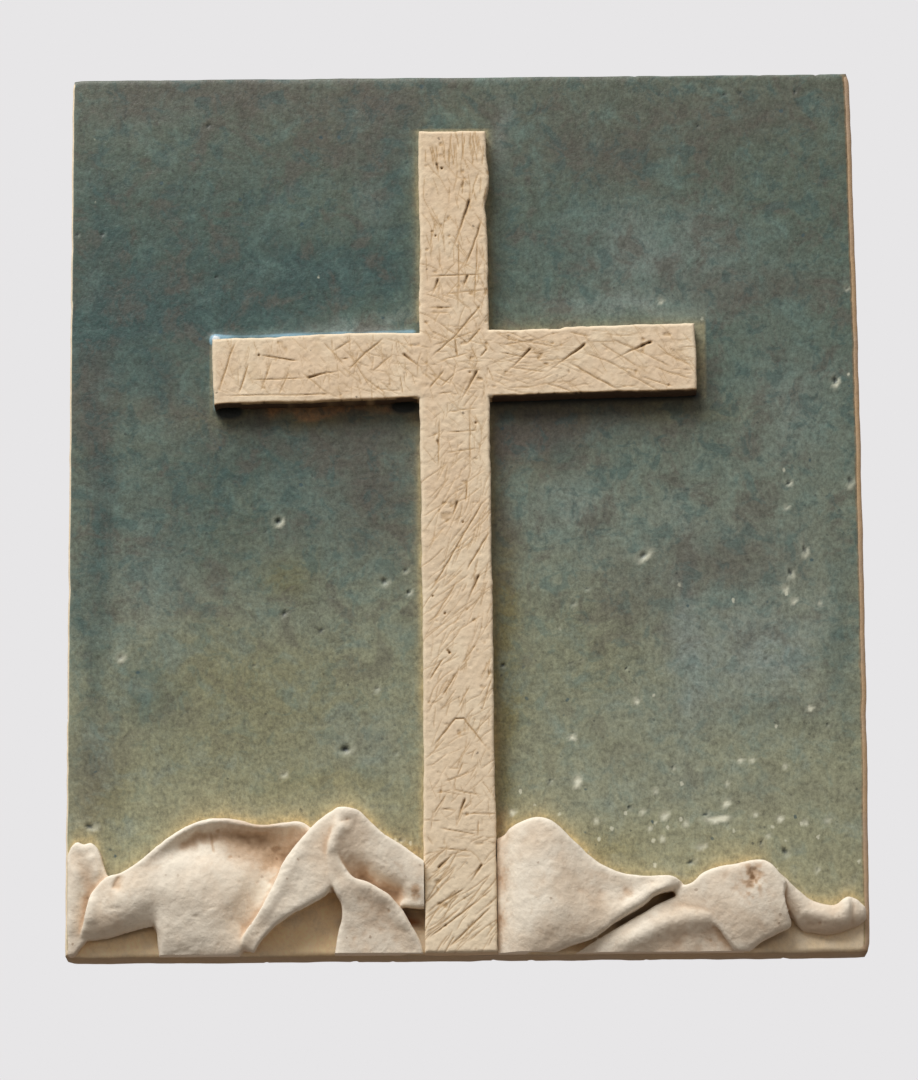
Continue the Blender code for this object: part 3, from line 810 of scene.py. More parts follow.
@dataclass
class Drapery:
    """Folded clay sheets fused into one body along the tile's foot, on one side of the cross."""

    name: str
    node: str
    sizes: PlaqueSizes
    start: float
    end: float
    rise: float
    sheets: tuple[ClaySheet, ...]
    creases: tuple[Fold, ...]
    stains_and_shading: tuple[tuple[float, float, float, float, float], ...]
    seed: int
    steps_along: int = 150
    steps_across: int = 60
    rim_round: float = 0.0009
    fuse: float = 0.00034
    contact: float = 0.00005
    buried: float = 0.0012

    def place(self, shares: Any) -> np.ndarray:
        """Shares of run, rise and relief into metres."""
        rows = np.asarray(shares, dtype=float)
        scale = np.array([self.end - self.start, self.rise, self.sizes.relief])[: rows.shape[1]]
        offset = np.array([self.start, self.sizes.bottom, 0.0])[: rows.shape[1]]
        return rows * scale + offset

    def crest_line(self, strips: int = 120) -> np.ndarray:
        """The highest sheet edge in each of many narrow strips, from left to right, as (x, z)."""
        across = np.linspace(self.start, self.end, strips)
        crest = np.full(strips, self.sizes.bottom)
        for sheet in self.sheets:
            edge = self.place(sheet.first)[:, :2]
            edge = edge[np.argsort(edge[:, 0])]
            inside = (across >= edge[0, 0] - 0.001) & (across <= edge[-1, 0] + 0.001)
            crest[inside] = np.maximum(crest[inside], np.interp(across[inside], edge[:, 0], edge[:, 1]))
        return np.stack((across, crest), axis=-1)

    def sheet_solid(self, sheet: ClaySheet) -> tuple[np.ndarray, np.ndarray]:
        """Vertices and faces of one sheet as a closed solid.

        The face is the ruled surface a + (b - a) v between the two edges, its height following v to
        the power of the belly. It is raised by lift exp(-(d / w)^2) at a distance d from each fold,
        a narrow fold running out at its ends, and rounded down over a quarter circle at its border.
        """
        first, second = self.place(sheet.first), self.place(sheet.second)
        length = np.linalg.norm(np.diff(first, axis=0), axis=1).sum()
        breadth = np.linalg.norm(first.mean(axis=0) - second.mean(axis=0))
        turn = 1.0 - np.cos(np.linspace(0.15, 1.0, 6) * math.pi / 2)
        along = spaced(self.steps_along, turn * self.rim_round / length)
        across = spaced(self.steps_across, turn * self.rim_round / breadth)
        edge_a = smooth_curve(first, along)[:, None, :]
        edge_b = smooth_curve(second, along)[:, None, :]
        grid = edge_a + (edge_b - edge_a) * across[None, :, None]
        x, z = grid[..., 0], grid[..., 1]
        height = edge_a[..., 2] + (edge_b[..., 2] - edge_a[..., 2]) * across[None, :] ** sheet.belly
        for fold in sheet.folds:
            away, along_fold = distance_to_path(x, z, self.place(fold.path))
            rise = np.exp(-((away / (fold.half_width * self.sizes.sheet)) ** 2))
            if fold.half_width < 1.3:
                rise = rise * (0.35 + 0.65 * smooth_step(np.minimum(along_fold, 1 - along_fold), 0.0, 0.25))
            height += fold.lift * self.sizes.relief * rise
        height = np.maximum(height, self.sizes.least_height)
        from_ends = np.minimum(along, 1 - along)[:, None] * length
        border = np.minimum(from_ends, np.minimum(across, 1 - across)[None, :] * breadth)
        inward = np.clip(1.0 - border / self.rim_round, 0.0, 1.0)
        rounding = self.rim_round * (1.0 - np.sqrt(1.0 - inward ** 2))
        height = np.maximum(height - rounding, self.sizes.least_height / 2)
        face = self.sizes.seat - height
        packed = self.sizes.seat + self.buried
        begin, end, depth = sheet.free
        span = smooth_step(along, begin - 0.02, begin) * smooth_step(-along, -end - 0.02, -end)
        reach = smooth_step(across, 1 - depth, 1 - depth / 2) if depth else across * 0.0
        opened = np.minimum(face + self.sizes.sheet, packed) - packed
        back = packed + opened * span[:, None] * reach[None, :]
        rows, columns = x.shape
        fronts = np.arange(rows * columns).reshape(rows, columns)
        backs = fronts + rows * columns
        loop = np.concatenate((
            np.arange(rows) * columns,
            (rows - 1) * columns + np.arange(1, columns),
            np.arange(rows - 2, -1, -1) * columns + columns - 1,
            np.arange(columns - 2, 0, -1),
        ))
        rim_faces = ring_faces(loop, loop + rows * columns)
        faces = np.vstack((grid_faces(fronts), grid_faces(backs)[:, ::-1], rim_faces))
        if self._turns_clockwise(x, z):
            faces = faces[:, ::-1]
        front_rows = np.stack((x, face, z), axis=-1).reshape(-1, 3)
        back_rows = np.stack((x, back, z), axis=-1).reshape(-1, 3)
        return np.vstack((front_rows, back_rows)), faces

    @staticmethod
    def _turns_clockwise(x: np.ndarray, z: np.ndarray) -> bool:
        """Whether the grid's rows and columns turn the other way round as seen from the front."""
        step_x, step_z = np.diff(x, axis=0)[:, :-1], np.diff(z, axis=0)[:, :-1]
        side_x, side_z = np.diff(x, axis=1)[:-1], np.diff(z, axis=1)[:-1]
        return float((step_x * side_z - step_z * side_x).sum()) < 0.0

    def fused(self) -> bpy.types.Object:
        """Join all sheets and remesh them into one skin."""
        places, faces, count = [], [], 0
        for sheet in self.sheets:
            sheet_places, sheet_faces = self.sheet_solid(sheet)
            places.append(sheet_places)
            faces.append(sheet_faces + count)
            count += len(sheet_places)
        rough = mesh_piece(self.name, np.vstack(places), np.vstack(faces).tolist())
        remesh = rough.modifiers.new("fuse", "REMESH")
        remesh.mode = "VOXEL"
        remesh.voxel_size = self.fuse
        self.bake(rough)
        return rough

    @staticmethod
    def bake(piece: bpy.types.Object) -> None:
        """Replace the piece's mesh by what its modifiers make of it."""
        graph = bpy.context.evaluated_depsgraph_get()
        made = bpy.data.meshes.new_from_object(piece.evaluated_get(graph))
        piece.modifiers.clear()
        piece.data = made

    def carve(self, piece: bpy.types.Object) -> None:
        """Soften the skin, press in the creases and give the clay its dents and grain."""
        mesh = piece.data
        places = settled(mesh, vertex_places(mesh), 3)
        mesh.vertices.foreach_set("co", places.astype(np.float32).ravel())
        mesh.update()
        wander = [layered_noise(places, 0.0040, 3, self.seed + 40 + axis) for axis in range(3)]
        places = places + 0.00024 * np.stack(wander, axis=-1)
        normals = vertex_normals(mesh)
        shift = grain(
            places, self.seed, (0.00012, 0.0075, 3, 0), (0.00007, 0.0030, 2, 5), (0.00005, 0.0012, 2, 7)
        )
        pitted = layered_noise(places, 0.0022, 2, self.seed + 11)
        shift -= 0.00012 * smooth_step(pitted, 0.50, 0.80)
        for crease in self.creases:
            away, along = distance_to_path(places[:, 0], places[:, 2], self.place(crease.path))
            ends = smooth_step(np.minimum(along, 1 - along), 0.0, 0.25)
            facing = np.clip(-normals[:, 1], 0.0, 1.0)
            dent = np.exp(-((away / (crease.half_width * self.sizes.sheet)) ** 2)) * ends * facing
            shift += crease.lift * self.sizes.relief * dent
        mesh.vertices.foreach_set("co", (places + normals * shift[:, None]).astype(np.float32).ravel())
        mesh.update()

    def trim(self, piece: bpy.types.Object) -> None:
        """Cut the body off at the tile, along the foot and beside the upright."""
        wide = 0.3
        sizes = self.sizes
        left_side = self.start < sizes.foot_offset
        turn = -1.0 if left_side else 1.0
        gap = 0.0001
        across = turn * (sizes.beam_width / 2 * sizes.foot_spread + gap)
        foot_x, _ = sizes.beam_point(0.0, across)
        head_x, head_z = sizes.beam_point(0.1, across)
        slope = (head_x - foot_x) / (head_z - sizes.bottom)
        inner = [(foot_x, sizes.bottom), (foot_x + slope * wide, sizes.bottom + wide)]
        outer = [(turn * wide, sizes.bottom), (turn * wide, sizes.bottom + wide)]
        seat = sizes.face - self.contact
        corners = [(x, y, z) for y in (seat, seat - wide) for x, z in inner + outer[::-1]]
        keep = mesh_piece(f"{self.name}_keep", np.array(corners), [
            [0, 1, 2, 3], [7, 6, 5, 4], [0, 4, 5, 1], [1, 5, 6, 2], [2, 6, 7, 3], [3, 7, 4, 0],
        ])
        if not left_side:
            keep.data.flip_normals()
        cut = piece.modifiers.new("trim", "BOOLEAN")
        cut.operation = "INTERSECT"
        cut.solver = "EXACT"
        cut.object = keep
        self.bake(piece)
        bpy.data.objects.remove(keep, do_unlink=True)

    def tint(self, piece: bpy.types.Object) -> None:
        """Paint shade into the clay's hollows and low places near the tile and a highlight onto its ridges,
        with the listed stains and painted spots, for its finish.
        """
        mesh = piece.data
        places = vertex_places(mesh)
        normals = vertex_normals(mesh)
        near = ((places - settled(mesh, places, 12)) * normals).sum(axis=1)
        far = ((places - settled(mesh, places, 90)) * normals).sum(axis=1)
        height = self.sizes.seat - places[:, 1]
        # Painted shade: darker where the clay lies low near the tile and in hollows; painted highlight on
        # ridges.
        sunk = 1.0 - smooth_step(height, 0.0012, 0.0050)
        shade_and_stain = 0.42 * sunk + np.clip(-far / 0.0011, 0.0, 0.8) + np.clip(-near / 0.00034, 0.0, 0.35)
        ridge = np.clip(far / 0.0012, 0.0, 0.7) + np.clip(near / 0.00030, 0.0, 0.4)
        # Positive tones darken, some as real brown stains and some as painted shade in valleys; negative
        # tones are painted highlights.
        for run, rise, radius, tone, grain in self.stains_and_shading:
            (x, z), = self.place(((run, rise),))
            away = np.hypot(places[:, 0] - x, (places[:, 2] - z) * 0.7) / radius
            speckle = smooth_step(layered_noise(places, 0.0010, 2, self.seed + 3), -0.3, 0.4)
            shade_and_stain += tone * np.exp(-(away ** 2)) * (1.0 + grain * (1.6 * speckle - 1.0))
        write_attribute(piece, "shade_and_stain", np.clip(shade_and_stain, 0.0, None))
        write_attribute(piece, "ridge", ridge + np.clip(-shade_and_stain, 0.0, 0.6))

    def build(self) -> bpy.types.Object:
        """Build the whole drapery."""
        piece = self.fused()
        self.carve(piece)
        self.trim(piece)
        self.tint(piece)
        piece.data.shade_smooth()
        piece.data.set_sharp_from_angle(angle=math.radians(60))
        return piece

    def dress(self, piece: bpy.types.Object, material: bpy.types.Material) -> None:
        """Give the drapery its clay and tie it to the frame."""
        piece.data.materials.clear()
        piece.data.materials.append(material)
        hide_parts(self.node)
        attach(piece, ROOT)


LEFT_SHEETS = (
    ClaySheet(
        first=(
            (0.000, 0.700, 0.36), (0.012, 0.765, 0.42), (0.028, 0.795, 0.46), (0.046, 0.780, 0.46),
            (0.068, 0.790, 0.46), (0.088, 0.740, 0.46), (0.100, 0.650, 0.42), (0.114, 0.560, 0.40),
            (0.140, 0.500, 0.38),
        ),
        second=(
            (0.000, 0.010, 0.18), (0.008, 0.000, 0.20), (0.018, 0.000, 0.20), (0.028, 0.030, 0.22),
            (0.040, 0.070, 0.26), (0.055, 0.110, 0.30), (0.080, 0.170, 0.36), (0.105, 0.220, 0.38),
            (0.140, 0.250, 0.38),
        ),
        folds=(
            Fold(((0.030, 0.72), (0.018, 0.50), (0.012, 0.10)), 0.10, 0.90),
            Fold(((0.060, 0.72), (0.090, 0.53)), 0.08, 0.64),
            Fold(((0.064, 0.45), (0.050, 0.20)), -0.05, 0.80),
        ),
    ),
    ClaySheet(
        first=(
            (0.066, 0.420, 0.50), (0.092, 0.500, 0.54), (0.117, 0.548, 0.58), (0.154, 0.575, 0.62),
            (0.213, 0.667, 0.67), (0.280, 0.806, 0.67), (0.363, 0.924, 0.67), (0.431, 0.944, 0.67),
            (0.486, 0.931, 0.62), (0.539, 0.904, 0.58), (0.610, 0.920, 0.58), (0.652, 0.925, 0.56),
            (0.695, 0.860, 0.52),
        ),
        second=(
            (0.036, 0.108, 0.24), (0.112, 0.128, 0.26), (0.165, 0.163, 0.28), (0.226, 0.205, 0.30),
            (0.247, 0.180, 0.32), (0.256, 0.030, 0.32), (0.275, -0.05, 0.32), (0.401, -0.05, 0.34),
            (0.480, 0.000, 0.38), (0.520, 0.165, 0.44),
        ),
        folds=(
            Fold(((0.070, 0.42), (0.060, 0.20)), 0.08, 0.64),
            Fold(
                ((0.260, 0.640), (0.363, 0.815), (0.431, 0.845), (0.520, 0.810), (0.620, 0.830)), -0.10, 0.85
            ),
            Fold(((0.380, 0.760), (0.470, 0.740), (0.550, 0.720), (0.625, 0.740)), -0.22, 2.00),
            Fold(
                (
                    (0.213, 0.640), (0.285, 0.785), (0.363, 0.900), (0.431, 0.920), (0.539, 0.880),
                    (0.650, 0.900),
                ),
                0.08, 0.45,
            ),
            Fold(((0.600, 0.66), (0.550, 0.45), (0.500, 0.22)), -0.18, 1.60),
            Fold(((0.150, 0.40), (0.300, 0.45)), 0.08, 2.14),
            Fold(((0.150, 0.56), (0.140, 0.44)), -0.08, 0.43),
        ),
        free=(0.0, 0.34, 0.28), belly=6.0,
    ),
    ClaySheet(
        first=(
            (0.759, 1.011, 0.88), (0.706, 0.923, 0.83), (0.672, 0.839, 0.83), (0.636, 0.737, 0.79),
            (0.602, 0.613, 0.75), (0.577, 0.476, 0.71), (0.549, 0.338, 0.67), (0.520, 0.224, 0.58),
            (0.492, 0.131, 0.52), (0.482, 0.045, 0.42),
        ),
        second=(
            (0.739, 0.702, 0.80), (0.739, 0.450, 0.76), (0.683, 0.342, 0.72), (0.626, 0.268, 0.67),
            (0.573, 0.170, 0.60), (0.540, 0.080, 0.53), (0.523, 0.010, 0.46),
        ),
        folds=(Fold(((0.660, 0.75), (0.580, 0.40), (0.520, 0.18)), 0.06, 0.71),),
        free=(0.30, 1.0, 0.60), belly=5.0,
    ),
    ClaySheet(
        first=(
            (0.751, 1.004, 0.88), (0.785, 1.008, 0.92), (0.821, 0.976, 0.83), (0.854, 0.896, 0.75),
            (0.890, 0.820, 0.71), (0.943, 0.737, 0.67), (0.982, 0.659, 0.67), (1.040, 0.560, 0.67),
        ),
        second=(
            (0.723, 0.647, 0.84), (0.744, 0.470, 0.70), (0.794, 0.416, 0.48), (0.855, 0.361, 0.42),
            (0.925, 0.328, 0.45), (0.973, 0.318, 0.48), (1.040, 0.310, 0.48),
        ),
        folds=(
            Fold(((0.780, 0.94), (0.745, 0.80), (0.733, 0.65)), 0.08, 0.64),
            Fold(((0.775, 0.915), (0.777, 0.90)), -0.14, 0.43),
            Fold(((0.795, 0.60), (0.860, 0.47), (0.960, 0.37)), -0.18, 0.93),
        ),
        free=(0.55, 1.0, 0.40), belly=2.0,
    ),
    ClaySheet(
        first=(
            (0.725, 0.703, 0.88), (0.728, 0.551, 0.83), (0.747, 0.427, 0.79), (0.766, 0.339, 0.71),
            (0.766, 0.231, 0.62), (0.754, 0.117, 0.54), (0.744, -0.05, 0.50),
        ),
        second=(
            (0.753, 0.688, 0.88), (0.795, 0.523, 0.79), (0.839, 0.483, 0.75), (0.875, 0.435, 0.71),
            (0.909, 0.373, 0.67), (0.944, 0.258, 0.58), (0.985, 0.074, 0.46), (0.995, -0.05, 0.42),
        ),
        folds=(Fold(((0.800, 0.50), (0.900, 0.36), (0.970, 0.10)), 0.08, 0.64),),
        free=(0.76, 1.0, 0.30), belly=1.5,
    ),
)
RIGHT_SHEETS = (
    ClaySheet(
        first=(
            (-0.040, 0.820, 0.50), (0.019, 0.870, 0.54), (0.041, 0.925, 0.62), (0.079, 0.966, 0.67),
            (0.125, 0.985, 0.71), (0.161, 0.940, 0.71), (0.196, 0.852, 0.67), (0.233, 0.757, 0.62),
            (0.271, 0.669, 0.58), (0.312, 0.601, 0.58), (0.360, 0.563, 0.58), (0.415, 0.553, 0.62),
            (0.469, 0.549, 0.67), (0.504, 0.501, 0.58),
        ),
        second=(
            (-0.040, -0.05, 0.44), (0.056, -0.05, 0.50), (0.132, -0.025, 0.52), (0.198, 0.040, 0.52),
            (0.247, 0.083, 0.52), (0.285, 0.142, 0.51), (0.323, 0.215, 0.51), (0.359, 0.273, 0.52),
            (0.397, 0.339, 0.53), (0.435, 0.412, 0.53), (0.490, 0.449, 0.50),
        ),
        folds=(
            Fold(((0.120, 0.80), (0.140, 0.30)), 0.12, 3.57),
            Fold(((-0.005, 0.95), (-0.010, 0.00)), -0.28, 1.60),
            Fold(((0.260, 0.42), (0.380, 0.46)), -0.04, 1.00),
            Fold(((0.320, 0.25), (0.430, 0.44), (0.480, 0.49)), 0.07, 0.64),
        ),
        free=(0.22, 1.0, 0.30), belly=7.0,
    ),
    ClaySheet(
        first=(
            (0.200, -0.02, 0.22), (0.275, 0.102, 0.32), (0.335, 0.196, 0.38), (0.392, 0.282, 0.42),
            (0.448, 0.362, 0.46), (0.500, 0.405, 0.50), (0.575, 0.375, 0.54), (0.666, 0.150, 0.46),
        ),
        second=(
            (0.200, -0.06, 0.20), (0.361, -0.06, 0.26), (0.437, -0.06, 0.26), (0.519, -0.06, 0.26),
            (0.578, -0.06, 0.28), (0.627, -0.06, 0.30), (0.670, -0.06, 0.33),
        ),
        folds=(
            Fold(((0.300, 0.00), (0.400, 0.130), (0.471, 0.21), (0.520, 0.24), (0.640, 0.24)), 0.18, 1.20),
        ),
    ),
    ClaySheet(
        first=(
            (0.474, 0.470, 0.52), (0.523, 0.493, 0.58), (0.561, 0.572, 0.62), (0.594, 0.606, 0.67),
            (0.648, 0.634, 0.67), (0.692, 0.663, 0.67), (0.725, 0.662, 0.67), (0.752, 0.610, 0.67),
            (0.784, 0.493, 0.62),
        ),
        second=(
            (0.492, 0.365, 0.54), (0.538, 0.291, 0.58), (0.573, 0.216, 0.58), (0.605, 0.134, 0.56),
            (0.647, -0.005, 0.48), (0.677, -0.013, 0.46), (0.718, 0.066, 0.46), (0.756, 0.116, 0.46),
            (0.795, 0.175, 0.46), (0.787, 0.271, 0.48), (0.774, 0.360, 0.50),
        ),
        folds=(
            Fold(((0.700, 0.60), (0.690, 0.48)), -0.06, 0.57),
            Fold(((0.560, 0.48), (0.660, 0.20)), 0.05, 1.43),
        ),
        free=(0.40, 0.95, 0.35), belly=3.0,
    ),
    ClaySheet(
        first=(
            (0.723, 0.671, 0.46), (0.780, 0.546, 0.36), (0.812, 0.466, 0.30), (0.849, 0.383, 0.27),
            (0.879, 0.353, 0.26), (0.917, 0.339, 0.26), (0.950, 0.394, 0.32), (0.975, 0.381, 0.28),
            (1.000, 0.325, 0.22),
        ),
        second=(
            (0.738, 0.485, 0.44), (0.781, 0.344, 0.30), (0.805, 0.243, 0.20), (0.829, 0.156, 0.12),
            (0.864, 0.140, 0.10), (0.902, 0.130, 0.10), (0.949, 0.160, 0.10), (0.983, 0.200, 0.10),
            (1.003, 0.240, 0.12),
        ),
        folds=(
            Fold(((0.740, 0.62), (0.795, 0.42), (0.835, 0.29), (0.905, 0.240), (1.000, 0.26)), 0.14, 1.00),
            Fold(((0.950, 0.40), (0.950, 0.26)), 0.06, 0.50),
            Fold(((0.966, 0.46), (0.962, 0.16)), -0.04, 0.28),
        ),
        belly=2.0,
    ),
)
LEFT_CREASES = (
    Fold(((0.150, 0.56), (0.128, 0.44)), -0.022, 0.15),
    Fold(((0.400, 0.86), (0.410, 0.70)), -0.016, 0.12),
    Fold(((0.560, 0.50), (0.590, 0.56), (0.640, 0.60)), -0.012, 0.14),
    Fold(((0.545, 0.42), (0.600, 0.47)), -0.010, 0.14),
    Fold(((0.200, 0.72), (0.260, 0.82)), -0.012, 0.20),
    Fold(((0.860, 0.66), (0.900, 0.60)), -0.014, 0.14),
)
RIGHT_CREASES = (
    Fold(((0.300, 0.36), (0.350, 0.38)), -0.008, 0.30),
    Fold(((0.180, 0.60), (0.240, 0.40)), -0.008, 0.40),
)
# Rows of run, rise, radius in metres, tone and grain. Positive tones are brown stains and painted shade in
# valleys, negative ones painted highlights.
LEFT_STAINS_AND_SHADING = (
    (0.974, 0.42, 0.0013, 1.00, 0.5), (0.340, 0.80, 0.0045, 0.40, 0.1), (0.440, 0.80, 0.0060, 0.55, 0.1),
    (0.545, 0.74, 0.0065, 0.80, 0.1), (0.575, 0.58, 0.0040, 0.40, 0.2), (0.655, 0.46, 0.0042, -0.90, 0.0),
    (0.635, 0.60, 0.0030, -0.70, 0.0), (0.340, 0.46, 0.0120, -0.75, 0.0), (0.830, 0.58, 0.0030, 0.25, 0.1),
    (0.910, 0.48, 0.0030, 0.30, 0.1), (0.850, 0.22, 0.0070, 0.30, 0.1), (0.870, 0.72, 0.0040, -0.40, 0.0),
    (0.600, 0.50, 0.0050, -0.80, 0.0), (0.580, 0.36, 0.0040, -0.60, 0.0),
)
RIGHT_STAINS_AND_SHADING = (
    (0.694, 0.56, 0.0030, 0.50, 0.8), (0.690, 0.47, 0.0026, 0.40, 0.8), (0.020, 0.55, 0.0022, 0.50, 0.4),
    (0.015, 0.25, 0.0020, 0.45, 0.4), (0.020, 0.86, 0.0018, 0.35, 0.4), (0.640, 0.38, 0.0080, 0.20, 0.2),
    (0.900, 0.22, 0.0060, 0.16, 0.1), (0.560, 0.12, 0.0060, 0.20, 0.1),
)


# The cross


@dataclass(frozen=True)
class Scratch:
    """A tool mark on the cross, along photo pixels. A heavier one is wider, deeper and darker."""

    pixels: Path
    mark: Mark
    weight: float


def needles(*runs: Path, weight: float = 1.0) -> tuple[Scratch, ...]:
    """Needle lines of one weight."""
    return tuple(Scratch(run, Mark.NEEDLE, weight) for run in runs)


def gouges(*runs: Path) -> tuple[Scratch, ...]:
    """Gouges, each deep at its first point and running out at its last."""
    return tuple(Scratch(run, Mark.GOUGE, 1.0) for run in runs)


def pricks(*rows: tuple[float, float, float]) -> tuple[Scratch, ...]:
    """Pricks from rows of pixel x and y and weight."""
    return tuple(Scratch((row[:2],), Mark.PRICK, row[2]) for row in rows)


SCRATCHES = (
    *gouges(
        ((470, 200), (465, 215), (448, 260)), ((438, 279), (431, 297)), ((467, 275), (462, 291)),
        ((477, 370), (468, 389), (458, 409)), ((307, 378), (327, 373), (347, 371)),
        ((404, 353), (420, 365), (428, 372)), ((531, 348), (515, 364), (503, 374)),
        ((585, 343), (562, 360), (542, 376)), ((651, 341), (627, 352), (609, 361)),
        ((438, 440), (440, 453)), ((457, 502), (450, 523)), ((479, 576), (472, 590), (464, 607)),
        ((447, 649), (453, 656)), ((466, 799), (455, 827)), ((439, 868), (457, 851)),
        ((482, 864), (469, 884)), ((437, 163), (439, 175)),
    ),
    *needles(
        ((463, 180), (462, 189)), ((482, 218), (477, 234), (464, 267)),
        ((482, 303), (454, 336), (430, 357)), ((454, 336), (458, 358)), ((480, 328), (466, 344)),
        ((488, 348), (480, 357)), ((444, 369), (429, 389)), ((236, 341), (231, 354), (219, 391)),
        ((249, 362), (239, 394)), ((568, 361), (597, 378), (621, 391)), ((467, 478), (465, 503)),
        ((491, 496), (481, 505), (464, 534), (445, 567), (429, 592)), ((491, 530), (466, 572)),
        ((431, 748), (455, 719), (464, 719), (488, 750)), ((457, 671), (442, 696)),
        ((347, 372), (364, 354), (384, 338)), ((260, 355), (285, 359), (299, 361)),
        ((465, 888), (433, 908)), ((481, 898), (429, 938)), ((493, 905), (448, 948)),
        ((444, 656), (429, 680)),
        weight=1.5,
    ),
    *needles(
        ((428, 276), (486, 274)), ((444, 293), (486, 290)), ((428, 307), (452, 307)),
        ((430, 312), (449, 312)), ((458, 235), (458, 311)), ((477, 236), (474, 305)),
        ((272, 359), (260, 393)), ((290, 370), (278, 396)), ((249, 380), (307, 378)),
        ((393, 354), (371, 373)), ((400, 374), (404, 396)), ((220, 396), (338, 394)),
        ((654, 342), (681, 363)), ((581, 350), (608, 361), (637, 377)), ((568, 332), (590, 336)),
        ((646, 354), (671, 366)), ((653, 366), (693, 379)), ((641, 376), (675, 386)),
        ((542, 382), (574, 392)), ((438, 394), (454, 392)), ((448, 412), (479, 408)),
        ((446, 433), (479, 430)), ((445, 453), (480, 448)), ((471, 400), (469, 470)),
        ((440, 415), (438, 470)), ((459, 578), (429, 625)), ((477, 642), (461, 664)),
        ((470, 685), (458, 708)), ((494, 672), (481, 712)), ((444, 782), (472, 771)),
        ((452, 789), (482, 795)), ((463, 762), (457, 776)), ((441, 808), (457, 809)),
        ((467, 813), (498, 814)), ((439, 828), (479, 835)), ((436, 848), (474, 851)),
        ((479, 819), (478, 836)), ((447, 793), (433, 814)), ((300, 372), (330, 396)),
        ((322, 342), (345, 366)), ((346, 350), (372, 390)), ((362, 376), (388, 396)),
        ((332, 352), (352, 340)), ((500, 345), (541, 339)), ((498, 352), (530, 358)),
        ((502, 338), (560, 347)), ((505, 366), (548, 372)), ((596, 340), (640, 368)),
        ((610, 338), (650, 356)), ((660, 350), (692, 366)), ((624, 372), (660, 390)),
        ((430, 330), (452, 340)), ((436, 320), (470, 345)), ((432, 345), (478, 330)),
        ((440, 360), (470, 352)), ((428, 372), (452, 384)), ((455, 372), (440, 388)),
        ((486, 365), (494, 382)), ((470, 345), (478, 362)),
    ),
    *pricks(
        (442, 168, 1.3), (259, 355, 1.1), (435, 236, 1.0), (431, 232, 0.8), (476, 423, 1.1),
        (444, 613, 1.0), (463, 522, 1.0), (449, 652, 1.4), (488, 168, 0.9), (432, 596, 0.9),
        (470, 372, 0.8),
    ),
)


@dataclass(frozen=True)
class Hatching:
    """A field of short needle strokes in a patch of the cross, drawn by a seeded hand."""

    box: tuple[float, float, float, float]
    count: int
    angle: float
    spread: float
    length: tuple[float, float]
    weight: float


HATCHINGS = (
    Hatching((422, 136, 484, 160), 34, 94, 12, (10, 24), 0.75),
    Hatching((424, 160, 484, 260), 56, 105, 30, (10, 30), 0.48),
    Hatching((426, 262, 486, 330), 50, 95, 70, (10, 30), 0.55),
    Hatching((426, 325, 490, 395), 74, 130, 60, (10, 32), 0.60),
    Hatching((220, 342, 330, 396), 60, 110, 50, (10, 28), 0.46),
    Hatching((330, 340, 424, 396), 90, 130, 50, (10, 30), 0.60),
    Hatching((494, 332, 570, 392), 70, 172, 35, (12, 40), 0.56),
    Hatching((570, 330, 690, 388), 74, 152, 40, (12, 36), 0.52),
    Hatching((430, 395, 486, 470), 54, 88, 60, (10, 28), 0.54),
    Hatching((428, 470, 490, 640), 120, 58, 26, (12, 44), 0.62),
    Hatching((430, 640, 490, 760), 76, 58, 34, (10, 38), 0.58),
    Hatching((430, 760, 494, 860), 64, 60, 70, (10, 28), 0.56),
    Hatching((430, 855, 496, 946), 60, 48, 14, (14, 50), 0.75),
)


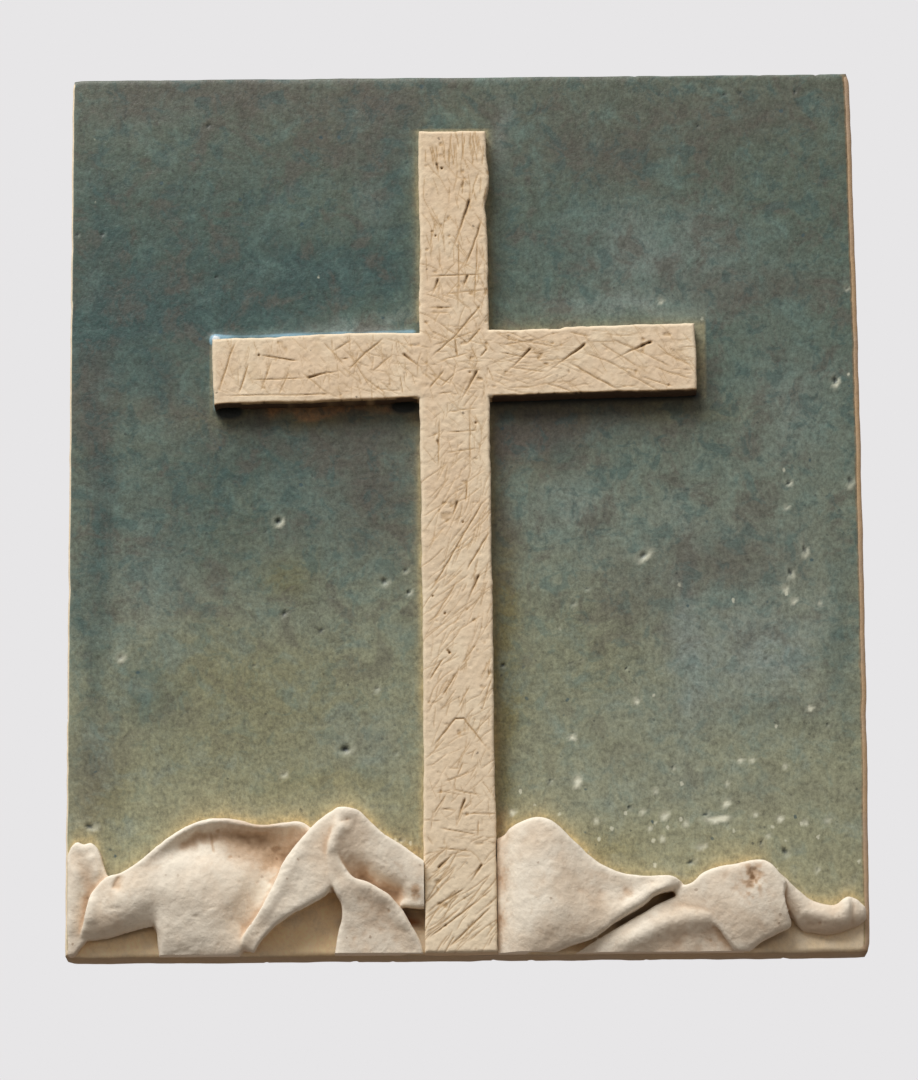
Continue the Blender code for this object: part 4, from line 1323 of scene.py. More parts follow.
@dataclass
class ScoredCross:
    """The cross: one slab of bisque with soft arrises, scored all over with a needle and a gouge."""

    sizes: PlaqueSizes
    camera: PhotoCamera
    cell: float = 0.000275
    arris: float = 0.00075
    seed: int = 41
    contact: float = 0.00005
    needle_width: float = 0.00017
    needle_depth: float = 0.00020
    gouge_width: float = 0.00028
    gouge_depth: float = 0.00062
    tones: dict[Mark, float] = field(
        default_factory=lambda: {Mark.NEEDLE: 0.85, Mark.GOUGE: 1.7, Mark.PRICK: 1.5}
    )
    wall_shares: tuple[float, ...] = (0.06, 0.30, 0.55, 0.80, 1.0)
    arm_step: tuple[float, float] = (562.0, 326.0)

    def corners(self) -> np.ndarray:
        """The four by four lines on which the cross's five blocks meet, as (x, z) places."""
        s = self.sizes
        half, arm = s.beam_width / 2, s.arm_depth / 2
        lift = half * math.tan(s.arm_tilt - s.beam_lean)
        reach = s.arm_length / 2
        low, high = s.arm_rise - arm, s.arm_rise + arm
        foot, head = half * s.foot_spread, half * s.top_narrowing
        grid = np.zeros((4, 4, 2))
        grid[1, 0], grid[2, 0] = s.beam_point(0.0, -foot), s.beam_point(0.0, foot)
        grid[1, 3], grid[2, 3] = s.beam_point(s.beam_length, -head), s.beam_point(s.beam_length, head)
        grid[1, 1], grid[2, 1] = s.beam_point(low - lift, -half), s.beam_point(low + lift, half)
        grid[1, 2], grid[2, 2] = s.beam_point(high - lift, -half), s.beam_point(high + lift, half)
        grid[0, 1], grid[0, 2] = s.arm_point(-reach, -arm), s.arm_point(-reach, arm)
        grid[3, 1], grid[3, 2] = s.arm_point(reach, -arm), s.arm_point(reach, arm)
        return grid

    def shares(self, length: float, ends: tuple[bool, bool]) -> np.ndarray:
        """Shares along one block, with narrow steps at the ends that are arrises."""
        rim = (1.0 - np.cos(np.linspace(0.33, 1.0, 3) * math.pi / 2)) * self.arris / length
        steps = max(int(length / self.cell), 4)
        start, stop = (rim[-1] if ends[0] else 0.0), (1 - rim[-1] if ends[1] else 1.0)
        parts = [np.linspace(start, stop, steps + 1)]
        if ends[0]:
            parts.insert(0, np.concatenate(([0.0], rim[:-1])))
        if ends[1]:
            parts.append(1 - np.concatenate(([0.0], rim[:-1]))[::-1])
        return np.concatenate(parts)

    def front_grid(self) -> tuple[np.ndarray, np.ndarray, np.ndarray, list[int], list[int]]:
        """Places of all grid points, block by block with bilinear shares between the corners.

        Returns:
            x and z of each grid point, whether each is used, and the block limits on each axis.
        """
        s = self.sizes
        arm = s.arm_length / 2 - s.beam_width / 2
        lower = s.arm_rise - s.arm_depth / 2
        upper = s.beam_length - s.arm_rise - s.arm_depth / 2
        across = [
            self.shares(arm, (True, False)), self.shares(s.beam_width, (True, True)),
            self.shares(arm, (False, True)),
        ]
        upward = [
            self.shares(lower, (True, False)), self.shares(s.arm_depth, (True, True)),
            self.shares(upper, (False, True)),
        ]
        limits_x = np.concatenate(([0], np.cumsum([len(a) - 1 for a in across]))).tolist()
        limits_z = np.concatenate(([0], np.cumsum([len(a) - 1 for a in upward]))).tolist()
        x = np.zeros((limits_x[-1] + 1, limits_z[-1] + 1))
        z = np.zeros_like(x)
        used = np.zeros(x.shape, dtype=bool)
        corner = self.corners()
        for bx in range(3):
            for bz in range(3):
                if bx != 1 and bz != 1:
                    continue
                u, v = across[bx][:, None], upward[bz][None, :]
                block = (
                    slice(limits_x[bx], limits_x[bx + 1] + 1),
                    slice(limits_z[bz], limits_z[bz + 1] + 1),
                )
                for axis, target in enumerate((x, z)):
                    c00, c10 = corner[bx, bz, axis], corner[bx + 1, bz, axis]
                    c01, c11 = corner[bx, bz + 1, axis], corner[bx + 1, bz + 1, axis]
                    target[block] = (c00 * (1 - u) + c10 * u) * (1 - v) + (c01 * (1 - u) + c11 * u) * v
                used[block] = True
        return x, z, used, limits_x, limits_z

    @staticmethod
    def border(limits_x: list[int], limits_z: list[int]) -> list[tuple[int, int]]:
        """Grid numbers of the outline's points, anticlockwise from the foot's left corner."""
        x0, x1, x2, x3 = limits_x
        z0, z1, z2, z3 = limits_z
        stops = [
            (x1, z0), (x2, z0), (x2, z1), (x3, z1), (x3, z2), (x2, z2),
            (x2, z3), (x1, z3), (x1, z2), (x0, z2), (x0, z1), (x1, z1),
        ]
        path = []
        for (i, j), (k, m) in zip(stops, stops[1:] + stops[:1]):
            steps = max(abs(k - i), abs(m - j))
            path += [(i + (k - i) * n // steps, j + (m - j) * n // steps) for n in range(steps)]
        return path

    def strokes(self) -> list[tuple[np.ndarray, Mark, float]]:
        """All tool marks as paths in metres on the cross's face, the listed ones and the hatching."""
        marks = []
        for scratch in SCRATCHES:
            path = self.camera.on_plane(scratch.pixels, self.sizes.cross_face)
            marks.append((path, scratch.mark, scratch.weight))
        hand = np.random.default_rng(self.seed)
        for field_ in HATCHINGS:
            left, top, right, bottom = field_.box
            for _ in range(field_.count):
                middle = np.array([hand.uniform(left, right), hand.uniform(top, bottom)])
                angle = math.radians(field_.angle + hand.uniform(-field_.spread, field_.spread))
                half = np.array([math.cos(angle), -math.sin(angle)]) * hand.uniform(*field_.length) / 2
                bend = np.array([-half[1], half[0]]) * hand.uniform(-0.12, 0.12)
                pixels = (middle - half, middle + bend, middle + half)
                path = self.camera.on_plane(pixels, self.sizes.cross_face)
                marks.append((path, Mark.NEEDLE, field_.weight * hand.uniform(0.5, 1.2)))
        return marks

    def score(self, x: np.ndarray, z: np.ndarray) -> tuple[np.ndarray, np.ndarray]:
        """How deep the tool marks go at each place, with the burr they raise beside them.

        A mark's section is depth exp(-(d / w)^2) less a low burr at 1.9 w on both sides. A needle
        line fades at both ends and a gouge runs out from its head to its tail.

        Returns:
            The height change, below 0 in a mark, and how dark the mark is, partly dirt in it and partly
            painted shade in the groove.
        """
        change = np.zeros_like(x)
        dark = np.zeros_like(x)
        for path, mark, weight in self.strokes():
            thin = mark is Mark.NEEDLE
            width = (self.needle_width if thin else self.gouge_width) * (0.70 + 0.30 * weight)
            depth = (self.needle_depth if thin else self.gouge_depth) * weight
            margin = width * 4
            low, high = path.min(axis=0) - margin, path.max(axis=0) + margin
            near = (x > low[0]) & (x < high[0]) & (z > low[1]) & (z < high[1])
            if not near.any():
                continue
            if mark is Mark.PRICK:
                away, along = np.hypot(x[near] - path[0, 0], z[near] - path[0, 1]), 0.0
                strength = 1.0
            else:
                away, along = distance_to_path(x[near], z[near], path)
                strength = smooth_step(np.minimum(along, 1 - along), -0.06, 0.22)
                if mark is Mark.GOUGE:
                    strength = smooth_step(along, -0.03, 0.04) * (1.0 - 0.9 * along) ** 1.2
                    width = width * (1.15 - 0.80 * along)
            groove = np.exp(-((away / width) ** 2)) * strength
            burr = np.exp(-(((away - 1.9 * width) / (0.8 * width)) ** 2)) * strength
            change[near] = np.minimum(change[near], -depth * groove) + 0.20 * depth * burr
            tone = self.tones[mark] * (0.4 + 0.6 * weight)
            dark[near] = np.maximum(dark[near], groove * tone)
        return change, dark

    def build(self) -> bpy.types.Object:
        """Build the cross as a face grid, arris, side walls and a flat back."""
        s = self.sizes
        x, z, used, limits_x, limits_z = self.front_grid()
        ids = np.full(x.shape, -1)
        ids[used] = np.arange(used.sum())
        flat_x, flat_z = x[used], z[used]
        outline = np.array([(x[i, j], z[i, j]) for i, j in self.border(limits_x, limits_z)])
        stops = self.corners()
        ring = [stops[a, b] for a, b in (
            (1, 0), (2, 0), (2, 1), (3, 1), (3, 2), (2, 2),
            (2, 3), (1, 3), (1, 2), (0, 2), (0, 1), (1, 1), (1, 0),
        )]
        away, _ = distance_to_path(flat_x, flat_z, np.array(ring))
        inward = np.clip(1.0 - away / self.arris, 0.0, 1.0)
        height = s.seat - s.cross_face - self.arris * (1.0 - np.sqrt(1.0 - inward ** 2))
        change, dark = self.score(flat_x, flat_z)
        spread = flat_rows(flat_x, flat_z)
        swell = grain(
            spread, self.seed, (0.00022, 0.024, 2, 0), (0.00011, 0.0034, 3, 3), (0.00006, 0.0011, 1, 5)
        )
        pitted = layered_noise(spread, 0.0019, 2, self.seed + 9)
        pits = smooth_step(pitted, 0.52, 0.80)
        height += change + np.minimum(swell, 0.0002) - 0.00018 * pits
        warp = self.wander(flat_x, flat_z)
        places = np.stack((flat_x + warp[0], s.seat - height, flat_z + warp[1]), axis=-1)

        inside = self.cell_mask(ids.shape, limits_x, limits_z)
        quads = grid_faces(ids)[inside.ravel()]
        border = np.array([ids[i, j] for i, j in self.border(limits_x, limits_z)])
        rim = places[border]
        rows = [places]
        back_y = s.face - self.contact
        for share in self.wall_shares:
            level = rim.copy()
            level[:, 1] += (back_y - rim[:, 1]) * share
            if share < 1.0:
                level += self.wall_dents(level, outline)
            level[:, 2] += self.undercut(outline, share)
            rows.append(level)
        piece = ringed_slab("scored_cross", np.vstack(rows), quads, border, len(self.wall_shares))
        piece.data.set_sharp_from_angle(angle=math.radians(70))
        wall_start, count = len(places), len(piece.data.vertices)
        all_dark = np.zeros(count)
        head = 0.20 * smooth_step(flat_z, 0.03, 0.09)
        foot = 0.35 * smooth_step(-flat_z, -0.01, 0.02) + 0.40 * smooth_step(-flat_z, 0.06, 0.11)
        # Painted shade along the crossbar's lower arris and, below, on its lower wall; the pits and the
        # marks are darkened by painted shade, the marks partly by dirt as well.
        shaded_arris = self.shaded_side(np.stack((flat_x, flat_z), axis=-1))
        all_dark[:wall_start] = dark + 0.5 * pits + head + 0.75 * shaded_arris
        all_dark[wall_start:] = np.resize(0.35 + self.shaded_side(outline), count - wall_start)
        write_attribute(piece, "shade_and_stain", all_dark)
        edge_light = np.zeros(count)
        # A painted highlight along the arrises, left out at the shaded lower ones, and paler towards the
        # foot.
        wear_and_edge_highlight = 0.7 * np.clip(1.0 - away / (2.2 * self.arris), 0.0, 1.0)
        edge_light[:wall_start] = np.maximum(wear_and_edge_highlight, foot) * (1 - dark) * (1 - np.clip(shaded_arris, 0, 1))
        write_attribute(piece, "ridge", edge_light)
        return piece

    def shaded_side(self, outline: np.ndarray) -> np.ndarray:
        """Painted shade on the crossbar's lower wall and lower arris: lighter and browner on the left, near
        black on the right, and deepest at the two hollows.
        """
        s = self.sizes
        lower = np.zeros(len(outline))
        spots = flat_rows(outline[:, 0], outline[:, 1])
        blotch = layered_noise(spots, 0.0030, 2, self.seed + 60)
        for start, end, tone in ((-0.5, -0.08, 1.25), (0.08, 0.5, 2.2)):
            away, _ = distance_to_path(outline[:, 0], outline[:, 1], s.underside(start, end))
            lower = np.maximum(lower, (tone + 0.7 * blotch) * (1 - smooth_step(away, 0.0002, 0.0008)))
        for hx, _ in s.underside(*s.arm_hollows):
            lower = lower * (1.0 + np.exp(-(((outline[:, 0] - hx) / 0.0034) ** 4)))
        return lower

    def wander(self, x: np.ndarray, z: np.ndarray) -> tuple[np.ndarray, np.ndarray]:
        """The hand-cut outline's small wanderings, and the swelling on the upright's head."""
        spread = flat_rows(x, z)
        shift_x = grain(spread, self.seed, (0.00038, 0.013, 4, 20), (0.00013, 0.0021, 2, 22))
        shift_z = grain(spread, self.seed, (0.00038, 0.013, 4, 30), (0.00013, 0.0021, 2, 32))
        (step_x, step_z), = self.camera.on_plane((self.arm_step,), self.sizes.cross_face)
        step_up = smooth_step(x, step_x - 0.001, step_x + 0.001) - 0.5
        step_up *= smooth_step(z, step_z - 0.004, step_z) * smooth_step(x, step_x - 0.018, step_x - 0.012)
        shift_z += 0.0005 * step_up
        head_x, head_z = self.sizes.beam_point(0.94 * self.sizes.beam_length, self.sizes.beam_width / 2)
        bulge = np.exp(-(((z - head_z) / 0.0042) ** 2)) * smooth_step(x, head_x - 0.004, head_x)
        dip = np.exp(-(((z - head_z + 0.0068) / 0.0032) ** 2)) * smooth_step(x, head_x - 0.003, head_x)
        return shift_x + 0.0008 * bulge - 0.0004 * dip, shift_z

    @staticmethod
    def wall_dents(level: np.ndarray, outline: np.ndarray) -> np.ndarray:
        """Small dents of the cut side walls, outwards or inwards from the slab's middle."""
        centre = outline.mean(axis=0)
        outward = flat_rows(level[:, 0] - centre[0], level[:, 2] - centre[1])
        outward /= np.maximum(np.linalg.norm(outward, axis=1), 1e-6)[:, None]
        return outward * (0.00012 * layered_noise(level, 0.003, 2, 77))[:, None]

    def undercut(self, outline: np.ndarray, share: float) -> np.ndarray:
        """How far the crossbar's lower wall draws up at the two places that aren't pressed down."""
        s = self.sizes
        lift = np.zeros(len(outline))
        for hx, hz in s.underside(*s.arm_hollows):
            near = np.exp(-(((outline[:, 0] - hx) / 0.0026) ** 4)) * (np.abs(outline[:, 1] - hz) < 0.0012)
            lift += near * 0.0016 * smooth_step(np.array(share), 0.55, 0.8)
        return lift

    @staticmethod
    def cell_mask(shape: tuple[int, int], limits_x: list[int], limits_z: list[int]) -> np.ndarray:
        """Which cells of the grid belong to the cross."""
        column = np.arange(shape[0] - 1)[:, None]
        row = np.arange(shape[1] - 1)[None, :]
        in_beam = (column >= limits_x[1]) & (column < limits_x[2]) & (row >= 0)
        in_arm = (row >= limits_z[1]) & (row < limits_z[2]) & (column >= 0)
        return in_beam | in_arm

    def dress(self, piece: bpy.types.Object, material: bpy.types.Material) -> None:
        """Give the cross its clay and tie it to the frame."""
        piece.data.materials.append(material)
        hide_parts("cross")
        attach(piece, ROOT)


# The tile


@dataclass(frozen=True)
class Pit:
    """A burst bubble or a chip in the glaze, at a photo pixel, with its radius in metres.

    Its lower right lip catches a painted highlight over the pale clay that shows there, and dark is how
    strongly painted shade blackens its hole.
    """

    pixel: tuple[float, float]
    radius: float
    lip: float
    dark: float = 1.0
    stretch: float = 1.0
    angle: float = 0.0


def pits(*rows: Sequence[float]) -> tuple[Pit, ...]:
    """Pits from rows of pixel x and y, radius in millimetres, lip and, where they differ, the rest."""
    return tuple(Pit((row[0], row[1]), row[2] / 1000, *row[3:]) for row in rows)


PITS = pits(
    (278, 521, 1, 0.9), (384, 581, 1.1, 0.35, 0.7), (405, 570, 0.7, 0.3, 0.8), (408, 592, 0.7, 0.8),
    (284, 613, 0.8, 0.1, 0.8, 1.5, 60), (321, 630, 0.6, 0.0, 0.8, 1.8, 40), (120, 657, 0.85, 0.8, 0.5),
    (376, 688, 0.75, 0.4, 0.6), (345, 749, 1.1, 0.25, 1.0, 1.5, 8), (283, 774, 0.75, 0.7, 0.5),
    (396, 752, 0.7, 0.1, 0.5), (254, 665, 0.55, 0.1, 0.7), (183, 550, 0.55, 0.1, 0.6),
    (643, 555, 0.95, 0.9, 0.75, 1.7, 38), (503, 665, 0.8, 0.1), (573, 603, 0.7, 0.3, 0.6),
    (587, 588, 0.55, 0.3, 0.7), (788, 483, 0.6, 0.9), (786, 507, 0.5, 0.8, 0.5),
    (804, 549, 0.6, 0.6, 0.8, 2.4, 105), (571, 662, 0.55, 0.1, 0.5), (785, 588, 0.65, 1.0, 0.4),
    (793, 600, 0.6, 0.9, 0.4), (790, 572, 0.6, 0.5, 0.9, 2.2, 110), (820, 603, 0.45, 0.8, 0.2),
    (636, 700, 0.55, 1.0, 0.3), (546, 702, 0.55, 0.2, 0.4), (810, 708, 0.6, 1.0, 0.1),
    (828, 724, 0.6, 0.2, 0.9), (571, 737, 0.45, 1.0, 0.1), (672, 767, 0.55, 0.5, 0.9),
    (577, 780, 0.75, 1.1, 0.1, 1.6, 80), (550, 780, 0.6, 0.3, 0.8), (629, 807, 0.55, 0.2),
    (664, 815, 0.7, 1.1, 0.2, 1.3, 50), (705, 814, 0.6, 0.3, 1.0), (714, 819, 0.55, 1.2, 0.1, 4.4, 3),
    (780, 818, 0.65, 1.0, 0.1), (512, 812, 0.55, 1.1, 0.0), (761, 842, 0.6, 0.2, 0.9),
    (785, 851, 0.85, 0.2, 0.9, 1.6, 110), (818, 869, 0.55, 0.7, 0.5), (660, 300, 0.55, 0.7, 0.5),
    (835, 380, 0.7, 0.9, 1.0, 1.8, 95), (850, 480, 0.8, 0.5, 0.8, 1.8, 95), (847, 288, 0.6, 0.6, 0.6),
    (724, 94, 0.5, 0.0), (740, 93, 0.55, 0.0), (796, 92, 0.55, 0.0), (698, 126, 0.5, 0.0),
    (659, 94, 0.45, 0.0), (208, 126, 0.6, 0.0), (216, 277, 0.55, 0.0), (102, 234, 0.6, 0.1),
    (77, 235, 0.6, 0.2), (626, 668, 0.45, 0.1), (655, 790, 0.5, 0.8, 0.3), (266, 531, 0.45, 0.0, 0.8),
    (89, 826, 0.8, 0.5, 0.9, 2.0, -20), (400, 840, 0.7, 0.4, 0.7), (377, 828, 0.65, 0.3, 0.5),
    (636, 690, 0.5, 0.2, 0.4), (726, 803, 0.55, 1.0, 0.0, 1.7, 40), (755, 814, 0.55, 0.9, 0.1),
    (572, 737, 0.5, 1.1, 0.1), (642, 811, 0.45, 0.9, 0.1), (685, 823, 0.5, 0.8, 0.1, 1.4, 80),
    (662, 838, 0.5, 1.0, 0.1), (805, 822, 0.6, 0.9, 0.3), (828, 820, 0.55, 0.8, 0.3),
    (740, 760, 0.5, 0.9, 0.0), (752, 760, 0.45, 0.8, 0.0), (785, 765, 0.45, 0.7, 0.1),
    (727, 783, 0.5, 0.6, 0.0), (596, 820, 0.5, 0.9, 0.1), (768, 836, 0.5, 0.8, 0.2),
    (700, 846, 0.6, 0.6, 0.2, 2.0, 5), (580, 660, 0.5, 0.2, 0.6), (766, 659, 0.7, 0.1, 0.5),
    (650, 828, 0.5, 0.8, 0.0), (690, 862, 0.65, 0.3, 0.9, 2.0, 20),
)


@dataclass(frozen=True)
class Cloud:
    """A soft patch of another glaze tint, at a photo pixel, with its reach in pixels."""

    tint: Tint
    pixel: tuple[float, float]
    reach: tuple[float, float]
    strength: float
    angle: float = 0.0


def clouds(tint: Tint, *rows: Sequence[float]) -> tuple[Cloud, ...]:
    """Clouds of one tint, from rows of pixel x and y, the two reaches, strength and, if turned, angle."""
    return tuple(Cloud(tint, row[:2], row[2:4], *row[4:]) for row in rows)


# Most clouds are glaze tints; the olive and umber clouds just below the crossbar and along the upright's
# right side paint the colour of the cross's shadow.
CLOUDS = (
    *clouds(
        Tint.UMBER,
        (210, 98, 150, 22, 0.85), (385, 112, 48, 30, 0.80), (610, 150, 90, 42, 0.70),
        (760, 110, 90, 26, 0.55), (150, 292, 62, 18, 1.10, 12), (92, 355, 24, 90, 1.00),
        (170, 400, 46, 40, 0.70), (300, 440, 90, 26, 0.70), (375, 490, 52, 60, 0.95),
        (765, 285, 80, 20, 0.65), (735, 560, 70, 36, 0.75), (640, 600, 46, 50, 0.45),
        (95, 770, 24, 60, 0.70), (345, 150, 70, 26, 0.50), (540, 440, 60, 30, 0.50),
        (95, 480, 16, 100, 0.70), (560, 425, 110, 26, 0.80), (506, 500, 12, 100, 0.60),
    ),
    *clouds(
        Tint.MIST,
        (200, 620, 120, 50, 0.35), (378, 205, 24, 30, 0.45), (350, 322, 66, 9, 1.10),
        (245, 326, 40, 10, 0.50), (625, 308, 80, 14, 0.70), (640, 250, 90, 40, 0.45),
        (790, 400, 60, 60, 0.50), (560, 500, 40, 50, 0.45), (760, 650, 80, 60, 0.95),
        (688, 640, 16, 110, 0.60), (145, 560, 50, 60, 0.40), (355, 745, 46, 40, 0.50),
        (660, 790, 150, 36, 0.35), (500, 130, 12, 30, 0.60), (150, 120, 60, 14, 0.25),
        (690, 265, 130, 60, 0.30), (700, 540, 150, 80, 0.34), (660, 715, 140, 40, 0.30),
        (300, 500, 60, 40, 0.20),
    ),
    *clouds(
        Tint.TEAL,
        (200, 280, 160, 80, 0.85), (210, 525, 160, 80, 0.66), (112, 330, 50, 36, 1.00),
        (225, 320, 80, 22, 0.80), (340, 272, 80, 32, 1.00), (398, 190, 26, 70, 0.60),
        (100, 215, 24, 60, 0.60), (200, 180, 90, 50, 0.30), (150, 380, 34, 30, 0.60),
        (98, 480, 16, 120, 0.45), (245, 470, 70, 30, 0.45), (145, 690, 36, 34, 0.60),
        (88, 640, 14, 90, 0.65), (565, 450, 16, 20, 0.70), (560, 250, 60, 60, 0.30),
        (838, 640, 14, 90, 0.55), (770, 715, 60, 16, 0.30), (395, 835, 24, 22, 0.55),
    ),
    *clouds(
        Tint.OLIVE,
        (288, 578, 26, 18, 1.00), (215, 665, 80, 60, 0.65), (310, 690, 60, 44, 0.35),
        (235, 500, 34, 70, 0.30), (112, 790, 24, 36, 0.65), (250, 745, 120, 34, 0.30),
        (330, 790, 80, 14, 0.60), (590, 660, 50, 60, 0.25), (510, 700, 20, 120, 0.50),
        (590, 855, 46, 16, 0.80), (318, 414, 105, 12, 1.20), (590, 412, 100, 14, 1.20),
        (503, 630, 9, 130, 1.30), (520, 440, 60, 40, 0.45), (503, 760, 12, 60, 0.60),
        (300, 425, 70, 14, 0.30),
    ),
    *clouds(
        Tint.RUST,
        (504, 822, 8, 14, 1.10), (414, 848, 12, 8, 0.80), (505, 330, 7, 6, 0.50), (411, 912, 14, 9, 1.20),
        (330, 410, 66, 5, 1.30),
    ),
)


@dataclass(frozen=True)
class FleckField:
    """A part of the glaze with many pale and dark flecks, at a photo pixel, with its reach in pixels."""

    pixel: tuple[float, float]
    reach: tuple[float, float]
    strength: float


FLECK_FIELDS = (
    FleckField((690, 830), (190, 46), 0.75), FleckField((810, 830), (56, 46), 0.95),
    FleckField((560, 800), (50, 36), 0.60), FleckField((785, 590), (30, 26), 0.45),
    FleckField((640, 730), (150, 60), 0.34), FleckField((385, 835), (40, 22), 0.70),
    FleckField((90, 640), (16, 90), 0.20), FleckField((820, 480), (30, 110), 0.25),
)


@dataclass
class GlazedTile:
    """The slab: a glazed face with burst bubbles, bare rolled edges and a flat bare back."""

    sizes: PlaqueSizes
    camera: PhotoCamera
    outlines: tuple[np.ndarray, ...]
    columns: int = 264
    rows: int = 296
    seed: int = 5
    roll_steps: int = 6
    wall_steps: int = 8
    metres_a_pixel: float = 0.0002516
    hidden_above: float = 0.0014
    back_share: float = 0.985
    back_marks: dict[str, float] = field(default_factory=lambda: {"bare": 1.0, "pale": 0.25})
    # Tint, start and end as shares of the crossbar's length, and strength, of strips under the crossbar: the
    # olive paints the colour of its shadow, the rust under the left half is rusty clay.
    under_arm: tuple[tuple[Tint, float, float, float], ...] = (
        (Tint.RUST, -0.38, -0.14, 1.8), (Tint.OLIVE, -0.48, -0.04, 0.9), (Tint.OLIVE, 0.06, 0.48, 1.1),
    )
    # Painted shade on the clay under the folds' free edges: each a path of photo pixels, its reach in metres
    # and its strength.
    fold_floor_shade: tuple[tuple[Path, float, float], ...] = (
        (((620, 925), (646, 911), (664, 899), (682, 890)), 0.0014, 0.80),
        (((788, 906), (792, 918), (800, 928)), 0.0012, 0.50),
        (((88, 937), (128, 933), (160, 925)), 0.0011, 0.45),
        (((340, 898), (316, 906), (290, 920)), 0.0009, 0.12),
        (((396, 914), (424, 914)), 0.0016, 0.60),
        (((737, 950), (760, 944), (784, 934)), 0.0010, 0.45),
    )

    def face_grid(self) -> tuple[np.ndarray, np.ndarray]:
        """x and z of the face grid, drawn together a little around each pit."""
        s = self.sizes
        u = np.linspace(0.0, 1.0, self.columns + 1)[:, None]
        v = np.linspace(0.0, 1.0, self.rows + 1)[None, :]
        left, right = s.left + s.roll_left, s.right - s.roll_right
        bottom, top = s.bottom + s.roll_bottom, s.top - s.roll_top
        x = left + (right - left) * u + 0.0 * v
        z = bottom + (top - bottom) * v + 0.0 * u
        for pit in PITS:
            (px, pz), = self.camera.on_plane((pit.pixel,), s.face)
            away = np.hypot(x - px, z - pz)
            reach = 5.0 * pit.radius
            pull = np.where(away < reach, 0.5 * (1 - (away / reach) ** 2) ** 2, 0.0)
            inside = np.minimum(np.minimum(x - left, right - x), np.minimum(z - bottom, top - z))
            fixed = smooth_step(inside, 0, 0.002)
            x = x + (px - x) * pull * fixed
            z = z + (pz - z) * pull * fixed
        return x, z

    def pit_marks(self, x: np.ndarray, z: np.ndarray) -> tuple[np.ndarray, np.ndarray, np.ndarray]:
        """Height, dark and pale over the face from the listed pits.

        A pit is a bowl -0.6 r exp(-(d / 0.7 r)^2) with a raised lip at 1.2 r. Its pale is pale clay with a
        painted highlight, strongest where the lip faces the upper left, on the pit's lower right, and its
        dark is painted shade in the hole.
        """
        height = np.zeros_like(x)
        dark = self.shaded_floor(x, z)
        pale = np.zeros_like(x)
        for pit in PITS:
            (px, pz), = self.camera.on_plane((pit.pixel,), self.sizes.face)
            turn = math.radians(pit.angle)
            along = (x - px) * math.cos(turn) + (z - pz) * math.sin(turn)
            across = (z - pz) * math.cos(turn) - (x - px) * math.sin(turn)
            away = np.hypot(along / pit.stretch, across) / pit.radius
            bowl = np.exp(-((away / 0.70) ** 2))
            lip = np.exp(-(((away - 1.20) / 0.48) ** 2))
            sunny = np.clip((x - px - (z - pz)) / (pit.radius * 2.0), 0.0, 1.0)
            height += -0.60 * pit.radius * bowl * max(pit.dark, 0.5) + 0.12 * pit.radius * lip
            dark = np.maximum(dark, pit.dark * np.exp(-((away / 0.66) ** 4)))
            open_clay = (1.0 - min(pit.dark, 1.0)) * np.exp(-((away / 0.8) ** 4))
            pale = np.maximum(pale, pit.lip * (lip * (0.18 + 0.75 * sunny) + open_clay))
        return height, dark, pale

    def shaded_floor(self, x: np.ndarray, z: np.ndarray) -> np.ndarray:
        """Painted shade: on the glaze below the crossbar and at its two hollows, and on the clay under the
        folds' free edges.
        """
        s = self.sizes
        dark = np.zeros_like(x)
        for start, end, strength in ((-0.5, -0.08, 0.12), (0.08, 0.5, 1.05)):
            away, _ = distance_to_path(x, z, s.underside(start, end))
            dark = np.maximum(dark, strength * np.exp(-((away / 0.0018) ** 2)))
            dark = np.maximum(dark, 0.42 * strength * np.exp(-((away / 0.0050) ** 2)))
        for hx, hz in s.underside(*s.arm_hollows):
            away = np.hypot((x - hx) / 0.0036, (z - hz + 0.0006) / 0.0018)
            dark = np.maximum(dark, 1.5 * np.exp(-(away ** 4)))
        for path, reach, strength in self.fold_floor_shade:
            away, _ = distance_to_path(x, z, self.camera.on_plane(path, s.face))
            dark = np.maximum(dark, strength * np.exp(-((away / reach) ** 2)))
        return dark

    def spread_of(self, x: np.ndarray, z: np.ndarray, mark: Any) -> np.ndarray:
        """exp(-d^2) of a cloud or a fleck field, d being the distance in shares of its reach."""
        (px, pz), = self.camera.on_plane((mark.pixel,), self.sizes.face)
        turn = math.radians(getattr(mark, "angle", 0.0))
        along = (x - px) * math.cos(turn) + (z - pz) * math.sin(turn)
        across = (z - pz) * math.cos(turn) - (x - px) * math.sin(turn)
        reach_x, reach_z = (pixels * self.metres_a_pixel for pixels in mark.reach)
        return np.exp(-((along / reach_x) ** 2) - (across / reach_z) ** 2) * mark.strength

    def tint_marks(self, x: np.ndarray, z: np.ndarray) -> dict[str, np.ndarray]:
        """How strong each tint and the flecks are over the face, in places drawn about by noise."""
        spread = flat_rows(x, z)
        moved_x = x + 0.0055 * layered_noise(spread, 0.013, 4, self.seed + 90)
        moved_z = z + 0.0055 * layered_noise(spread, 0.013, 4, self.seed + 95)
        marks = {tint.value: np.zeros_like(x) for tint in Tint}
        for cloud in CLOUDS:
            marks[cloud.tint.value] += self.spread_of(moved_x, moved_z, cloud)
        patchy = np.clip(0.65 + 0.9 * layered_noise(spread, 0.0045, 2, self.seed + 98), 0, 1.4)
        for tint, start, end, strength in self.under_arm:
            away, _ = distance_to_path(x, z, self.sizes.underside(start, end))
            marks[tint.value] += strength * patchy * np.exp(-((away / 0.0021) ** 2))
        marks["fleck"] = np.zeros_like(x)
        for field_ in FLECK_FIELDS:
            marks["fleck"] = np.maximum(marks["fleck"], self.spread_of(moved_x, moved_z, field_))
        return marks

